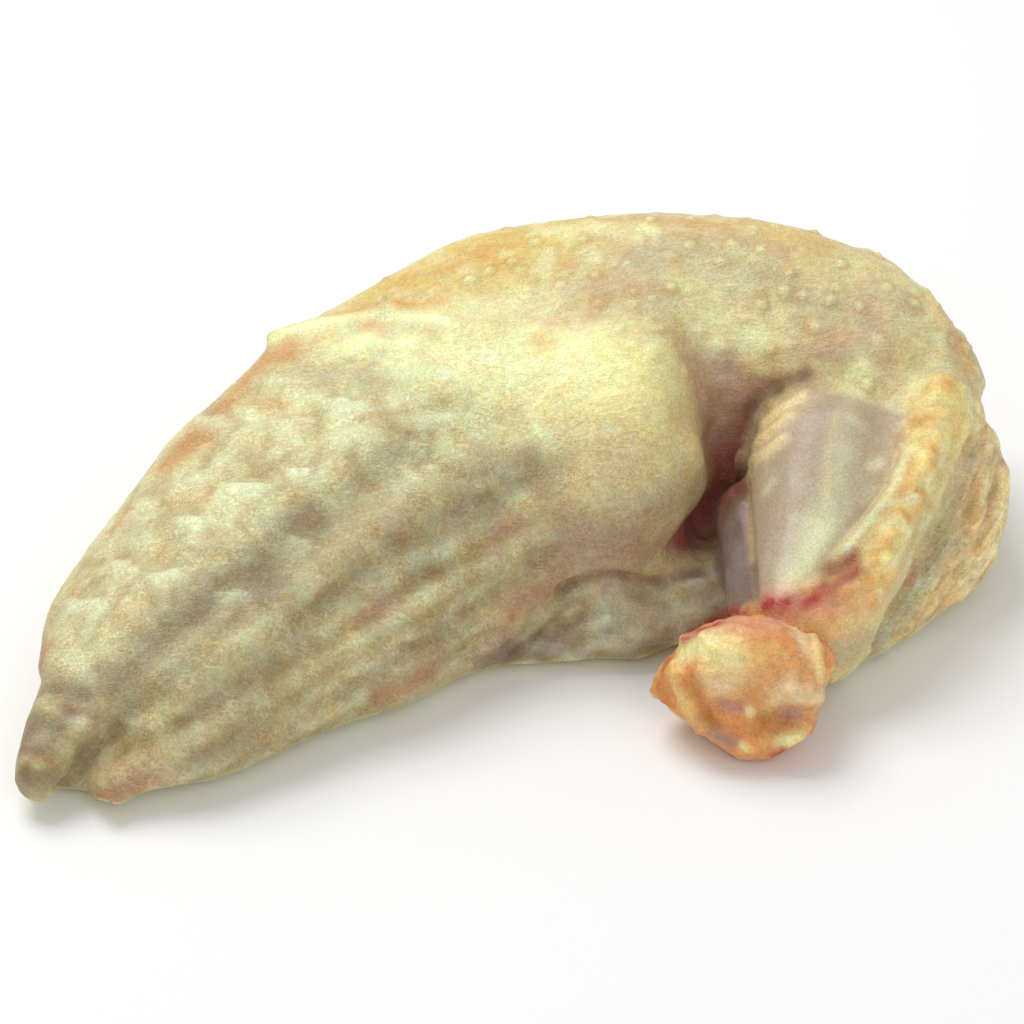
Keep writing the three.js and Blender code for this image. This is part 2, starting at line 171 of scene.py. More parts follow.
# Shreds of film: pixel in the middle of the upper edge and half its width. More are strewn over a field.
FLAKES = [(348, 399, 22), (440, 412, 20), (252, 484, 22), (188, 516, 18), (125, 562, 14), (77, 602, 12),
          (298, 536, 12), (384, 549, 12)]
FLAKE_FIELD = ((90, 400), (330, 640))
FLAKE_COUNT = 10
FLAKE_WIDTHS = (8, 22)

# Where the hollow above a shred and the shred itself begin, are full, ebb and end below the shred's edge
FLAKE_HOLLOW = (-4.5, -0.8, -0.5, 0.3)
FLAKE_SHELF = (-0.4, 0.3, 0.8, 4.5)

# Outlines of the tissues, in pixels
FACE = [(262, 350), (287, 329), (320, 323), (402, 317), (450, 326), (500, 360), (530, 420), (560, 500),
        (545, 560), (560, 598), (530, 636), (478, 664), (400, 720), (200, 800), (0, 830), (-20, 720),
        (30, 590), (160, 420)]
WOOL = [(250, 370), (330, 376), (430, 398), (490, 440), (430, 480), (330, 530), (200, 620), (90, 690),
        (20, 660), (60, 560), (160, 430)]
SLAB = [(500, 470), (560, 500), (545, 560), (560, 598), (530, 636), (478, 664), (400, 720), (200, 800),
        (60, 800), (120, 700), (220, 640), (330, 570), (430, 510)]
CHEEK = [(440, 322), (520, 330), (570, 325), (640, 330), (690, 390), (712, 465), (690, 530), (700, 565),
         (620, 575), (560, 585), (560, 480), (500, 400)]
CHEEK_LOW = [(540, 480), (590, 505), (650, 480), (700, 470), (712, 490), (690, 530), (700, 565), (620, 575),
             (560, 585), (545, 540)]
LOBE = [(566, 590), (613, 576), (656, 587), (690, 572), (725, 560), (740, 640), (660, 670), (480, 680),
        (500, 657), (540, 625)]
MUSCLE = [(754, 604), (744, 463), (750, 430), (787, 391), (811, 384), (850, 397), (888, 408), (908, 418),
          (908, 440), (885, 492), (860, 522), (836, 546), (805, 587)]
MUSCLE_SKIN = [(744, 500), (740, 440), (755, 400), (787, 385), (815, 377), (850, 384), (822, 396), (790, 412),
               (768, 440), (760, 480)]
BACK_MUSCLE = [(732, 470), (744, 465), (751, 517), (754, 600), (728, 616), (714, 568), (715, 531)]
WEB = [(975, 380), (1030, 440), (1030, 540), (960, 640), (870, 670), (905, 600), (945, 540), (962, 450)]
YELLOW_SKIN = [(300, 330), (400, 312), (470, 305), (530, 280), (600, 245), (600, 205), (440, 215), (320, 290)]
ARMPIT_FIELD = [(686, 358), (702, 344), (728, 348), (760, 374), (806, 366), (812, 375), (776, 388),
                (752, 402), (745, 440), (741, 470), (722, 520), (712, 548), (668, 548), (672, 532),
                (698, 506), (710, 488), (710, 470), (700, 432), (694, 398)]
FIBROUS = [(262, 350), (320, 345), (450, 350), (520, 372), (560, 405), (620, 425), (690, 460), (700, 565),
           (560, 598), (478, 664), (400, 720), (200, 800), (0, 830), (-20, 720), (30, 590), (160, 420)]
THUMB = [(62, 700), (100, 716), (92, 750), (58, 795), (20, 810), (0, 770), (25, 715)]

# Tissues: outline, width of its soft edge and how ragged the edge is
TISSUES = {
    "face": (FACE, 6.0, 1.5),
    "wool": (WOOL, 14.0, 3.0),
    "slab": (SLAB, 14.0, 2.0),
    "cheek": (CHEEK, 14.0, 3.0),
    "lobe": (LOBE, 2.0, 0.0),
    "muscle": (MUSCLE, 1.6, 0.4),
    "muscle skin": (MUSCLE_SKIN, 4.0, 1.0),
    "back muscle": (BACK_MUSCLE, 1.6, 0.0),
    "web": (WEB, 4.0, 1.0),
    "thumb": (THUMB, 3.0, 1.0),
    "fibrous": (FIBROUS, 14.0, 3.0),
    "armpit": (ARMPIT_FIELD, 3.0, 0.8),
    "yellow skin": (YELLOW_SKIN, 14.0, 2.0),
}
SKINLESS = ("face", "cheek", "lobe", "muscle", "back muscle", "under")
PATCHY = {"slab": 0.6, "lobe": 1.0, "web": 0.6, "roll": 0.4, "thumb": 0.9, "armpit": 0.4}
MOTTLED = ("lobe", "web", "roll", "thumb", "armpit")

# Hidden sides: where the thin end and the wing's outer side begin and are all there
THIN_END = (25, 55)
WING_SIDE = (45, 65)
WING_BACK = (-25, 15)

# Grains: direction, length, width and seed
PLEATS = ((0.5, 0.75, 0.45), 20, 2.2, 6)
SINEW = ((0.23, 0.92, 0.3), 26, 2.6, 7)
LOBE_GRAIN = ((0.85, 0.1, 0.5), 14, 3.5, 15)
ARMPIT_GRAIN = (UP, 9, 2.0, 11)
STREAKS = (32, 4, 16)
RIDGE_ENDS = ((520, 552), (292, 702))  # pixels that give the direction of the streaks

# Fine lumps: tissue, height, size and seed
FINE_LUMPS = [("wool", 0.12, 2.2, 3), ("skin", 0.25, 9, 4), ("skin", 0.18, 3, 5), ("cheek", 0.15, 5, 12),
              ("roll", 0.4, 2.2, 10), ("armpit", 0.5, 4, 11)]

# Lines that colours follow, in pixels
ROLL_LINE = [(948, 388), (940, 420), (928, 452), (916, 482), (904, 510), (892, 537), (878, 566), (860, 592),
             (830, 610)]
ROLL_TOP = [(916, 424), (934, 404), (960, 412)]
VALLEY_LINE = GROOVES["valley beside the roll"][0]
ARMPIT_TOP = [(684, 345), (694, 372), (704, 400)]
ARMPIT_LINE = [(728, 460), (717, 486), (704, 508), (690, 524), (680, 540)]
BLOOD_LINE = [(690, 632), (721, 622), (750, 610), (772, 605), (802, 602), (818, 594)]
LIP_LINE = RISES["lip"][0]
MUSCLE_LOW = [(822, 530), (812, 560), (800, 580)]
MUSCLE_SHINE = [(850, 400), (842, 450), (825, 510), (808, 565)]
GREY_BAND = [(566, 250), (620, 258), (680, 257), (760, 280), (864, 315)]
TOP_STRIP = [(640, 222), (740, 224), (820, 244)]
MAUVE_LINE = [(480, 308), (530, 312), (575, 325)]
ORANGE_EDGE = [(300, 318), (345, 308), (395, 303), (440, 312)]
RIM_LINE = [(262, 362), (228, 400), (195, 434), (168, 462)]
BACK_TOP = [(740, 472), (728, 492)]
# Pixel rows over which the armpit's painted shade deepens
ARMPIT_ROWS = (350, 440)

# Small stains, painted light and painted shade: colour, share, width and line. Their shares are thinned by
# mottles, so some are above 1.
MEAT_MARKS_AND_PAINTED_LIGHT = [
    # Grey on the face: painted shade in its dark bands, grooves and hollows, partly grey flesh.
    ("FLESH_GREY", 1.0, 5.2, [(306, 522), (262, 566), (212, 596), (165, 636), (114, 686)]),
    ("FLESH_GREY", 1.0, 4.5, [(272, 588), (238, 602), (200, 616)]),
    ("FLESH_GREY", 0.5, 3.0, [(468, 474), (490, 462)]),
    ("FLESH_TAN", 0.6, 3.0, [(125, 532), (160, 526)]),
    ("FLESH_TAN", 0.6, 2.6, [(160, 580), (176, 572)]),
    ("FLESH_GREY", 0.6, 1.6, [(286, 530), (302, 521)]),
    ("FLESH_GREY", 0.55, 4.5, GROOVES["first dark band"][0][:4]),
    ("FLESH_GREY", 0.5, 3.0, [(392, 446), (372, 458)]),
    ("FLESH_GREY", 0.6, 4.0, GROOVES["second dark band"][0][:3]),
    ("FLESH_GREY", 0.4, 5.5, GROOVES["second dark band"][0][2:]),
    ("FLESH_GREY", 0.45, 3.4, GROOVES["low dark band"][0]),
    ("FLESH_GREY", 0.3, 2.0, [(514, 486), (530, 476)]),
    ("FLESH_GREY", 0.8, 1.8, [(384, 546), (398, 536)]),
    ("FLESH_GREY", 0.4, 7.0, [(540, 560), (470, 545), (430, 570)]),
    ("FLESH_GREY", 0.5, 4.0, [(480, 630), (410, 648), (350, 690)]),
    ("FLESH_GREY", 0.8, 2.4, [(378, 623), (410, 608)]),
    ("FLESH_GREY", 0.7, 2.6, [(170, 676), (192, 663)]),
    ("FLESH_PALE", 0.7, 2.4, [(452, 556), (482, 543)]),
    ("FLESH_GREY", 0.5, 5.0, [(250, 740), (190, 765)]),
    ("FLESH_GREY", 0.8, 2.6, GROOVES["above the thumb"][0]),
    ("PINK", 0.6, 0.9, GROOVES["thumb wrinkle"][0]),
    ("PINK", 0.6, 0.9, GROOVES["thumb end wrinkle"][0]),
    # Paler along the ridges and the thumb's folds: painted light.
    ("FLESH_RIDGE", 0.8, 2.0, RISES["thumb side"][0]),
    ("FLESH_RIDGE", 0.8, 1.8, RISES["thumb top"][0]),
    ("FLESH_RIDGE", 0.5, 1.6, RISES["thumb end"][0]),
    ("FLESH_RIDGE", 0.6, 2.6, RISES["first ridge"][0][:3]),
    ("FLESH_RIDGE", 0.5, 2.4, RISES["first ridge"][0][2:]),
    ("FLESH_RIDGE", 0.5, 2.2, RISES["second ridge"][0]),
    ("FLESH_RIDGE", 0.4, 2.0, RISES["short ridge"][0]),
    ("FLESH_RIDGE", 0.4, 2.4, RISES["third ridge"][0]),
    ("FLESH_RIDGE", 0.5, 2.4, RISES["ridge of the tag"][0]),
    ("FLESH_RIDGE", 0.7, 2.4, RISES["light beside the streak"][0]),
    # Pale lip edge and upper face: partly their own pale colour, partly painted light where the face turns
    # up.
    ("LIP_WHITE", 1.0, 6.5, [(320, 340), (390, 344), (430, 352), (480, 364), (540, 356), (580, 354)]),
    ("LIP_WHITE", 0.8, 5.0, [(410, 372), (450, 374), (490, 384)]),
    ("LIP_WHITE", 0.5, 4.0, [(540, 436), (505, 436), (470, 420)]),
    ("LIP_WHITE", 0.6, 4.0, [(265, 412), (290, 408)]),
    ("FLESH_ORANGE", 0.5, 3.0, [(300, 344), (325, 340)]),
    # Painted highlight along the cheek's upper edge.
    ("CHEEK_BRIGHT", 1.0, 8.5, [(606, 362), (634, 388), (658, 420)]),
    ("LIP_WHITE", 0.6, 4.5, [(580, 365), (606, 380)]),
    ("SKIN_PALE", 0.8, 4.0, [(440, 304), (500, 304), (545, 298)]),
    ("SKIN_PALE", 0.8, 3.0, [(560, 230), (600, 226), (640, 230)]),
    ("SKIN_PALE", 0.8, 4.0, [(690, 315), (722, 330), (752, 335)]),
    ("SKIN_PALE", 0.6, 4.0, [(690, 285), (735, 288)]),
    ("SKIN_BROWN", 0.7, 3.0, [(770, 358), (800, 350), (835, 342)]),
    ("SKIN_BROWN", 0.6, 4.0, [(594, 292), (620, 286), (640, 292)]),
    ("SKIN_ORANGE", 0.6, 3.0, [(955, 340), (966, 365)]),
    ("SKIN_ORANGE", 0.7, 2.4, [(400, 303), (440, 300)]),
    ("SKIN_ORANGE", 0.7, 3.0, [(460, 262), (485, 256)]),
    ("SKIN_PALE", 0.4, 3.0, [(850, 384), (872, 390)]),
    ("SKIN_MAUVE", 0.7, 3.0, [(820, 352), (860, 345), (890, 360)]),
    ("PINK", 0.65, 2.2, [(516, 524), (480, 546)]),
    ("PINK", 0.7, 3.2, [(546, 590), (510, 606)]),
    ("PINK", 0.6, 2.6, [(512, 640), (492, 652)]),
    ("PINK", 0.9, 2.2, [(43, 622), (42, 668)]),
    ("PINK", 0.75, 3.4, [(106, 800), (142, 782)]),
    ("PINK", 0.4, 2.0, [(400, 600), (355, 622)]),
    ("PINK", 0.7, 3.2, [(385, 692), (432, 672)]),
    ("FLESH_ORANGE", 1.0, 3.0, [(286, 346), (290, 356)]),
    ("FLESH_ORANGE", 0.8, 2.2, [(283, 406), (255, 402)]),
    ("FLESH_ORANGE", 1.0, 2.8, [(205, 434), (185, 450)]),
    ("FLESH_ORANGE", 0.8, 2.2, [(370, 323), (382, 323)]),
    ("CHEEK_MID", 0.7, 7.0, [(600, 455), (650, 440), (690, 420)]),
    ("RED_BROWN", 1.2, 2.4, GROOVES["pit below the muscle"][0]),
    # Dark red in the gaps beside the muscle and on the back muscle's top: painted shade, partly dark flesh.
    ("ARMPIT_RED", 0.8, 1.4, [(752, 402), (745, 415), (741, 432), (737, 444)]),
    ("ARMPIT_RED", 1.0, 1.6, GROOVES["top of the back muscle"][0]),
    ("ARMPIT_RED", 0.9, 1.8, [(722, 500), (732, 490), (742, 484)]),
    # Painted shade on the back muscle under the big muscle.
    ("BACK_DARK", 0.8, 2.6, [(728, 512), (742, 500)]),
    ("BACK_DARK", 0.8, 2.4, [(738, 508), (738, 530)]),
    ("RED_BROWN", 1.5, 2.4, [(830, 589), (842, 582), (854, 574)]),
    ("VALLEY_GREEN", 0.8, 3.0, [(866, 640), (852, 656)]),
    ("EDGE_TAN", 0.6, 1.8, [(32, 724), (27, 742)]),
    ("FLESH_TAN", 0.8, 3.5, [(50, 622), (70, 606), (92, 602)]),
    ("SKIN_BROWN", 0.6, 2.2, [(206, 428), (172, 456)]),
    ("SKIN_ORANGE", 0.9, 1.8, [(330, 315), (376, 310)]),
    ("SKIN_ORANGE", 0.6, 3.0, [(410, 276), (440, 266)]),
    ("SKIN_ORANGE", 0.8, 1.4, [(914, 466), (900, 492)]),
    ("SKIN_ORANGE", 0.6, 2.4, [(930, 410), (936, 425)]),
    ("SKIN_MAUVE", 0.6, 3.4, [(862, 285), (880, 312)]),
    ("VALLEY_GREY", 0.6, 2.0, [(836, 648), (828, 668)]),
    ("GRISTLE_PINK", 0.5, 2.0, [(764, 597), (792, 590)]),
    ("GRISTLE_PINK", 0.9, 3.0, [(772, 616), (800, 612), (832, 606)]),
    # Brown in the creases: painted shade, partly their own brown.
    ("CREASE_BROWN", 0.9, 1.4, GROOVES["crease over the lobe"][0]),
    ("CREASE_BROWN", 0.7, 1.8, GROOVES["muscle top"][0]),
    ("CREASE_BROWN", 0.35, 1.4, GROOVES["end of the muscle top"][0]),
    ("CREASE_BROWN", 0.6, 1.2, GROOVES["muscle left edge"][0]),
    ("CREASE_BROWN", 0.6, 1.4, GROOVES["thumb groove"][0]),
    ("CREASE_BROWN", 0.6, 1.2, GROOVES["lobe fold"][0]),
    ("CREASE_BROWN", 0.2, 1.2, GROOVES["hollow of the cheek"][0]),
    ("CHEEK_TAN", 0.7, 4.0, [(566, 556), (600, 560), (640, 560)]),
    # Brown beside the muscle's right edge: painted shade.
    ("CREASE_BROWN", 0.4, 3.0, [(900, 492), (882, 510), (866, 530)]),
    # Pale spots and streaks on the muscle: painted highlights.
    ("MUSCLE_PALE", 0.35, 3.5, [(850, 450), (842, 480), (834, 505)]),
    ("MUSCLE_PALE", 0.6, 1.2, [(872, 466), (878, 464)]),
    ("MUSCLE_PALE", 0.5, 1.2, [(766, 490), (772, 482)]),
    ("EDGE_YELLOW", 0.3, 1.2, [(836, 412), (828, 450), (826, 500)]),
    ("EDGE_YELLOW", 0.4, 1.2, [(852, 418), (864, 428)]),
    ("EDGE_YELLOW", 0.4, 1.0, RISES["fold at the muscle edge"][0]),
    ("PINK", 0.6, 1.2, [(522, 452), (534, 447)]),
    ("PINK", 0.6, 1.2, [(398, 536), (408, 528)]),
    ("PINK", 0.6, 1.2, [(302, 521), (312, 514)]),
    # Darker along the lobe's low edges, near the bone and under the crease: painted shade.
    ("LOBE_DARK", 0.9, 4.5, [(492, 660), (530, 648), (556, 638)]),
    ("LOBE_DARK", 0.5, 2.0, [(600, 632), (640, 622), (672, 618)]),
    ("LOBE_DARK", 0.5, 2.0, [(620, 650), (660, 644)]),
    ("LOBE_DARK", 1.2, 2.2, [(700, 587), (712, 594), (720, 604)]),
    # Paler on the lobe's folds and flaps: painted light.
    ("LOBE_LIGHT", 0.6, 4.5, [(640, 606), (680, 606), (705, 602)]),
    ("LOBE_LIGHT", 0.8, 2.0, RISES["lobe light fold"][0]),
    ("LOBE_LIGHT", 0.4, 1.4, RISES["flap below the crease"][0]),
    ("SKIN_ORANGE", 0.6, 2.0, [(538, 340), (548, 345)]),
    ("SKIN_BROWN", 0.6, 2.4, [(598, 300), (596, 312)]),
    ("SKIN_BROWN", 1.0, 1.6, [(914, 572), (910, 580)]),
    ("WEB_BROWN", 0.8, 2.6, [(977, 486), (970, 514)]),
    ("WEB_BROWN", 0.6, 1.6, GROOVES["web fold"][0]),
    # Pale blue-grey along the web's streak: painted highlight, partly grey film.
    ("VALLEY_GREY", 0.9, 1.5, RISES["web streak"][0]),
    ("EDGE_YELLOW", 0.9, 1.5, RISES["first muscle fold"][0]),
    ("EDGE_YELLOW", 0.9, 1.5, RISES["second muscle fold"][0]),
    ("EDGE_YELLOW", 0.8, 1.5, RISES["third muscle fold"][0]),
    ("FILM_WHITE", 0.8, 0.9, RISES["film beside the muscle"][0]),
    ("ROLL_YELLOW", 0.9, 4.0, [(950, 405), (957, 430)]),
]

# Share, width and line
BLOOD_SPOTS = [(0.9, 1.1, [(694, 630), (712, 622)]), (1.0, 1.5, [(722, 619), (740, 612)]),
               (1.0, 1.6, [(764, 604), (778, 602)]), (1.0, 1.9, [(790, 603), (812, 599)])]

# Lines that trim the meat's outline in the photograph
MEAT_TRIMS = [((958, 333), (926, 286)), ((862, 250), (806, 231)), ((990, 438), (978, 395)),
              ((275, 333), (262, 357)), ((330, 309), (276, 332)), ((161, 453), (107, 525)),
              ((44, 678), (27, 720))]

# The bone's end: its axis, its cut facets, the lines that trim its outline, and its lumps and forms
BONE_AXIS = np.array((0.418, 0.896, 0.149))
BONE_FACETS = {
    "crest": [(682, 640), (700, 635), (736, 644), (744, 662), (700, 664), (684, 656)],
    "upper front": [(692, 670), (735, 667), (796, 662), (808, 686), (788, 708), (745, 704), (708, 703)],
    "lower front": [(708, 714), (750, 712), (790, 718), (800, 734), (772, 755), (742, 756), (714, 738)],
    "left strip": [(652, 690), (668, 660), (675, 668), (678, 690), (702, 726), (708, 738), (688, 728),
                   (664, 708)],
    "right side": [(800, 634), (815, 634), (821, 680), (806, 686)],
}
BONE_TRIMS = [((650, 692), (744, 764)), ((762, 764), (814, 730)), ((656, 664), (650, 692)),
              ((682, 633), (656, 664))]
BONE_KNOBS = [(803, 622), (815, 636), (818, 652), (821, 668), (690, 640), (706, 640), (728, 650), (750, 640),
              (776, 652), (700, 668), (735, 672), (770, 676), (790, 690), (760, 700), (725, 720), (745, 735)]
BONE_LUMPS = [(0.4, 5.5, 1), (0.5, 2.6, 2), (0.3, 1.4, 3)]  # height, size and seed
BONE_FORMS = {
    "crest": ([(686, 641), (700, 639), (722, 648), (736, 662)], 2.2, 0.9),
    "left rim": ([(674, 664), (675, 688), (686, 706), (702, 727)], 1.1, 0.8),
    "nub": ([(796, 694), (810, 696), (822, 699)], 2.0, 2.0),
    "right rim": ([(811, 625), (817, 650), (820, 678)], 1.0, 0.8),
    "right groove": ([(803, 640), (808, 662), (800, 690)], 1.4, -0.9),
    "left pit": ([(706, 717), (714, 724)], 1.8, -0.8),
    "right pit": ([(768, 722), (786, 722)], 2.0, -0.6),
    "shelf over the pits": ([(712, 703), (738, 707), (756, 705), (790, 712)], 1.3, -0.7),
    "lower right lumps": ([(788, 743), (806, 730)], 1.5, 0.9),
    "under the nub": ([(798, 712), (812, 714)], 1.3, -0.7),
    "lower left": ([(670, 718), (690, 734), (712, 750)], 2.0, -0.9),
}

# Stains and painted shadows of the bone's end: colour, share, width and line
BONE_STAINS_AND_SHADOWS = [
    ("GRISTLE_PALE", 1.2, 3.2, [(686, 644), (706, 645), (730, 656)]),
    ("GRISTLE_PALE", 0.7, 2.2, [(726, 640), (734, 660)]),
    ("GRISTLE_PINK", 1.0, 3.4, [(732, 618), (756, 624), (790, 620), (806, 632)]),
    ("GRISTLE_YELLOW", 0.9, 1.2, BONE_FORMS["left rim"][0]),
    ("GRISTLE_NUB", 0.8, 2.6, [(796, 630), (804, 652)]),
    ("GRISTLE_BROWN", 0.6, 2.4, [(690, 684), (700, 700)]),
    ("GRISTLE_BROWN", 0.4, 2.6, [(752, 688), (760, 730)]),
    ("GRISTLE_NUB", 0.9, 2.6, BONE_FORMS["nub"][0]),
    ("GRISTLE_PALE", 0.7, 1.3, BONE_FORMS["right rim"][0]),
    ("GRISTLE_NUB", 0.8, 3.0, [(722, 684), (737, 676)]),
    ("GRISTLE_NUB", 0.8, 2.8, [(780, 700), (795, 684)]),
    ("GRISTLE_PALE", 1.0, 1.8, [(786, 744), (802, 734)]),
    ("GRISTLE_PALE", 0.9, 0.8, [(748, 710), (751, 714)]),
    ("GRISTLE_PALE", 0.9, 0.8, [(742, 744), (745, 748)]),
    ("GRISTLE_YELLOW", 0.8, 1.6, [(680, 698), (690, 714)]),
    ("GRISTLE_YELLOW", 0.7, 2.6, [(745, 655), (762, 660)]),
    ("GRISTLE_BROWN", 0.9, 2.2, [(706, 716), (714, 724)]),
    ("GRISTLE_BROWN", 0.9, 2.4, [(768, 722), (786, 720)]),
    ("GRISTLE_BROWN", 0.6, 2.0, [(660, 690), (664, 700)]),
    # Mauve-grey under the shelf, under the nub and low on the left: painted shadow, partly mauve gristle.
    ("GRISTLE_MAUVE", 0.8, 1.4, [(722, 704), (738, 708)]),
    ("GRISTLE_MAUVE", 0.9, 1.4, [(786, 711), (800, 714)]),
    ("GRISTLE_MAUVE", 0.9, 1.8, [(714, 736), (730, 742)]),
    ("BLOOD", 0.9, 1.3, [(672, 648), (690, 634), (716, 624)]),
    ("BLOOD", 0.6, 1.2, [(664, 668), (672, 652)]),
    ("BLOOD", 0.8, 1.2, [(774, 755), (784, 750)]),
]

# Colours of the tissues, among them painted shade and painted highlights
COLOURS = {
    "SKIN": "ddd096", "SKIN_GREY": "c6b990", "SKIN_YELLOW": "e0c262", "SKIN_PALE": "eeeab0",
    "SKIN_BROWN": "bc9464", "SKIN_ORANGE": "dca860", "SKIN_MAUVE": "c8a88a", "FLESH": "dcd6a0",
    "FLESH_PALE": "e8ebba", "FLESH_TAN": "bca678", "FLESH_ORANGE": "d29c60", "FLESH_WARM": "dcbc84",
    "FLESH_GREY": "948668", "FLESH_LOW": "b8ab7e", "FLESH_RIDGE": "cfc692", "CHEEK_YELLOW": "e4dc9f",
    "CHEEK_MID": "d0b488", "CHEEK_BRIGHT": "faf4aa", "CHEEK_TAN": "a1836e", "LOBE_TAN": "bfba9a",
    "LOBE_DARK": "867462", "LOBE_LIGHT": "c6b894", "WEB_YELLOW": "ebd49a", "WEB_BROWN": "c89e66",
    "WEB_GREEN": "bab490", "ARMPIT_MAUVE": "b8947c", "ARMPIT_RED": "8c4a44", "ARMPIT_BROWN": "96705e",
    "MUSCLE_MAUVE": "b2a08a", "MUSCLE_RIM": "ccb88e", "MUSCLE_PALE": "e8ecbe", "EDGE_YELLOW": "f6e0a6",
    "BACK_GREY": "8c7d74", "BACK_DARK": "74564c", "ROLL_YELLOW": "f2da8c", "VALLEY_GREEN": "b4a47e",
    "VALLEY_GREY": "c6c6a6", "GRISTLE_ORANGE": "e09858", "GRISTLE_YELLOW": "e8c678",
    "GRISTLE_PALE": "f0e29e", "GRISTLE_NUB": "e6ce9e", "GRISTLE_PINK": "dc9a78", "GRISTLE_BROWN": "b4702e",
    "GRISTLE_MAUVE": "a88074", "RED_BROWN": "a6644a", "CREASE_BROWN": "7e5644", "LIP_WHITE": "f6fabe",
    "FILM_WHITE": "e4ecc0", "PINK": "b27e62", "BLOOD": "aa2c36", "THUMB_GREY": "a0906e",
    "EDGE_TAN": "927a5c", "EDGE_BROWN": "74503f",
}

# Materials: values from 0 to 1 that a mesh carries, those of the bone's end, gloss, and factors of red, green
# and blue that shift a hue
FINISHES = ("fibre", "wet", "mottled", "wrinkled", "pleated")
BONE_FINISH = {"fibre": 0.0, "wet": 0.5, "mottled": 0.6, "wrinkled": 0.5, "pleated": 0.0}
TISSUE_FINISH = {"Subsurface Weight": 0.12, "Subsurface Radius": (1.0, 0.5, 0.25), "Subsurface Scale": 0.0015,
                 "Specular IOR Level": 0.35, "Coat Roughness": 0.22}
FLESH_ROUGHNESS, FLESH_COAT = 0.48, 0.06
GRISTLE_ROUGHNESS, GRISTLE_COAT = 0.42, 0.12
PALE_SHIFT = (1.02, 1.07, 1.12, 1)
WARM_SHIFT = (0.98, 0.9, 0.82, 1)
HUE_SHIFTS = (((0.96, 1.1, 1.18, 1), (1.04, 0.91, 0.84, 1)),
              ((0.98, 0.95, 1.1, 1), (1.02, 1.05, 0.89, 1)))

# Noises: scale and detail. Fibres and wrinkles: turn, offset, scale and sharpness.
NOISES = {"cloud": (260, 5), "speckle": (800, 4), "fine": (2200, 2)}
FIBRES = [((0.0, 0.15, 0.1), 0.1, 900, 20), ((0.0, 0.9, 0.5), 0.4, 900, 20),
          ((0.3, -0.8, -0.4), 0.7, 900, 20)]
WRINKLES = [((0.0, 0.1, 0.2), 0.7, 520, 16), ((0.2, 0.6, 0.8), 0.9, 620, 16)]
FILAMENT_LENGTH = 4.5
PLEAT_TURN = (0.0, -math.asin(0.447), math.atan2(0.75, 0.5))
PLEAT_LENGTH = 9.0

# Studio, in metres and watts. Lights: place, size and power.
FLOOR_HALF = 4.0
FLOOR_WHITE = (0.92, 0.92, 0.92, 1)
FLOOR_ROUGHNESS = 0.9
SKY_STRENGTH = 0.55
LIGHTS = {"softbox": ((-0.35, 0.35, 0.9), 0.7, 6.3), "fill": ((0.35, -0.9, 0.55), 0.8, 2.2)}


# Arithmetic on arrays of points

def fade(values, start, end):
    """0 before start, 1 after end, with a smooth step between them."""
    t = np.clip((values - start) / (end - start), 0, 1)
    return t * t * (3 - 2 * t)


def band(values, start, full, ebb, end):
    """0 outside a band of values and 1 in its middle."""
    return fade(values, start, full) * (1 - fade(values, ebb, end))


def hill(distance, width):
    return np.exp(-(distance / width) ** 2)


def lumps(points, size, seed=0):
    """Smooth noise from -1 to 1 with lumps of about the given size."""
    return np.array([noise.noise(place) for place in points / size + NOISE_STEP * (seed + SEED)])


def puffs(points, size, seed=0):
    """Rounded clumps, from 0 in the creases between them to 1."""
    return np.minimum(1, PUFF_GAIN * np.abs(lumps(points, size, seed)))


def grain(points, along, length, width, seed=0):
    """Noise with lumps drawn out along a direction."""
    along = np.asarray(along) / np.linalg.norm(along)
    lengthwise = points @ along
    across = points - lengthwise[:, None] * along
    return lumps(across / width + along * (lengthwise / length)[:, None], 1.0, seed)


def pixels_of(points):
    """Where points appear in the photograph's frame."""
    away = points - EYE
    depth = away @ FORWARD
    return PHOTO / 2 + FOCAL * np.stack((away @ RIGHT, -(away @ UP)), 1) / depth[:, None]


def ray_through(pixel):
    x, y = (np.asarray(pixel, float) - PHOTO / 2) / FOCAL
    ray = FORWARD + x * RIGHT - y * UP
    return ray / np.linalg.norm(ray)


def segment_distance(points, a, b):
    along = b - a
    t = np.clip((points - a) @ along / (along @ along), 0, 1)
    return np.linalg.norm(points - a - t[:, None] * along, axis=1)


def linear(code):
    """Linear colour of a hex code."""
    channels = np.array([int(code[i:i + 2], 16) for i in (0, 2, 4)]) / 255
    return np.where(channels > 0.04045, ((channels + 0.055) / 1.055) ** 2.4, channels / 12.92)


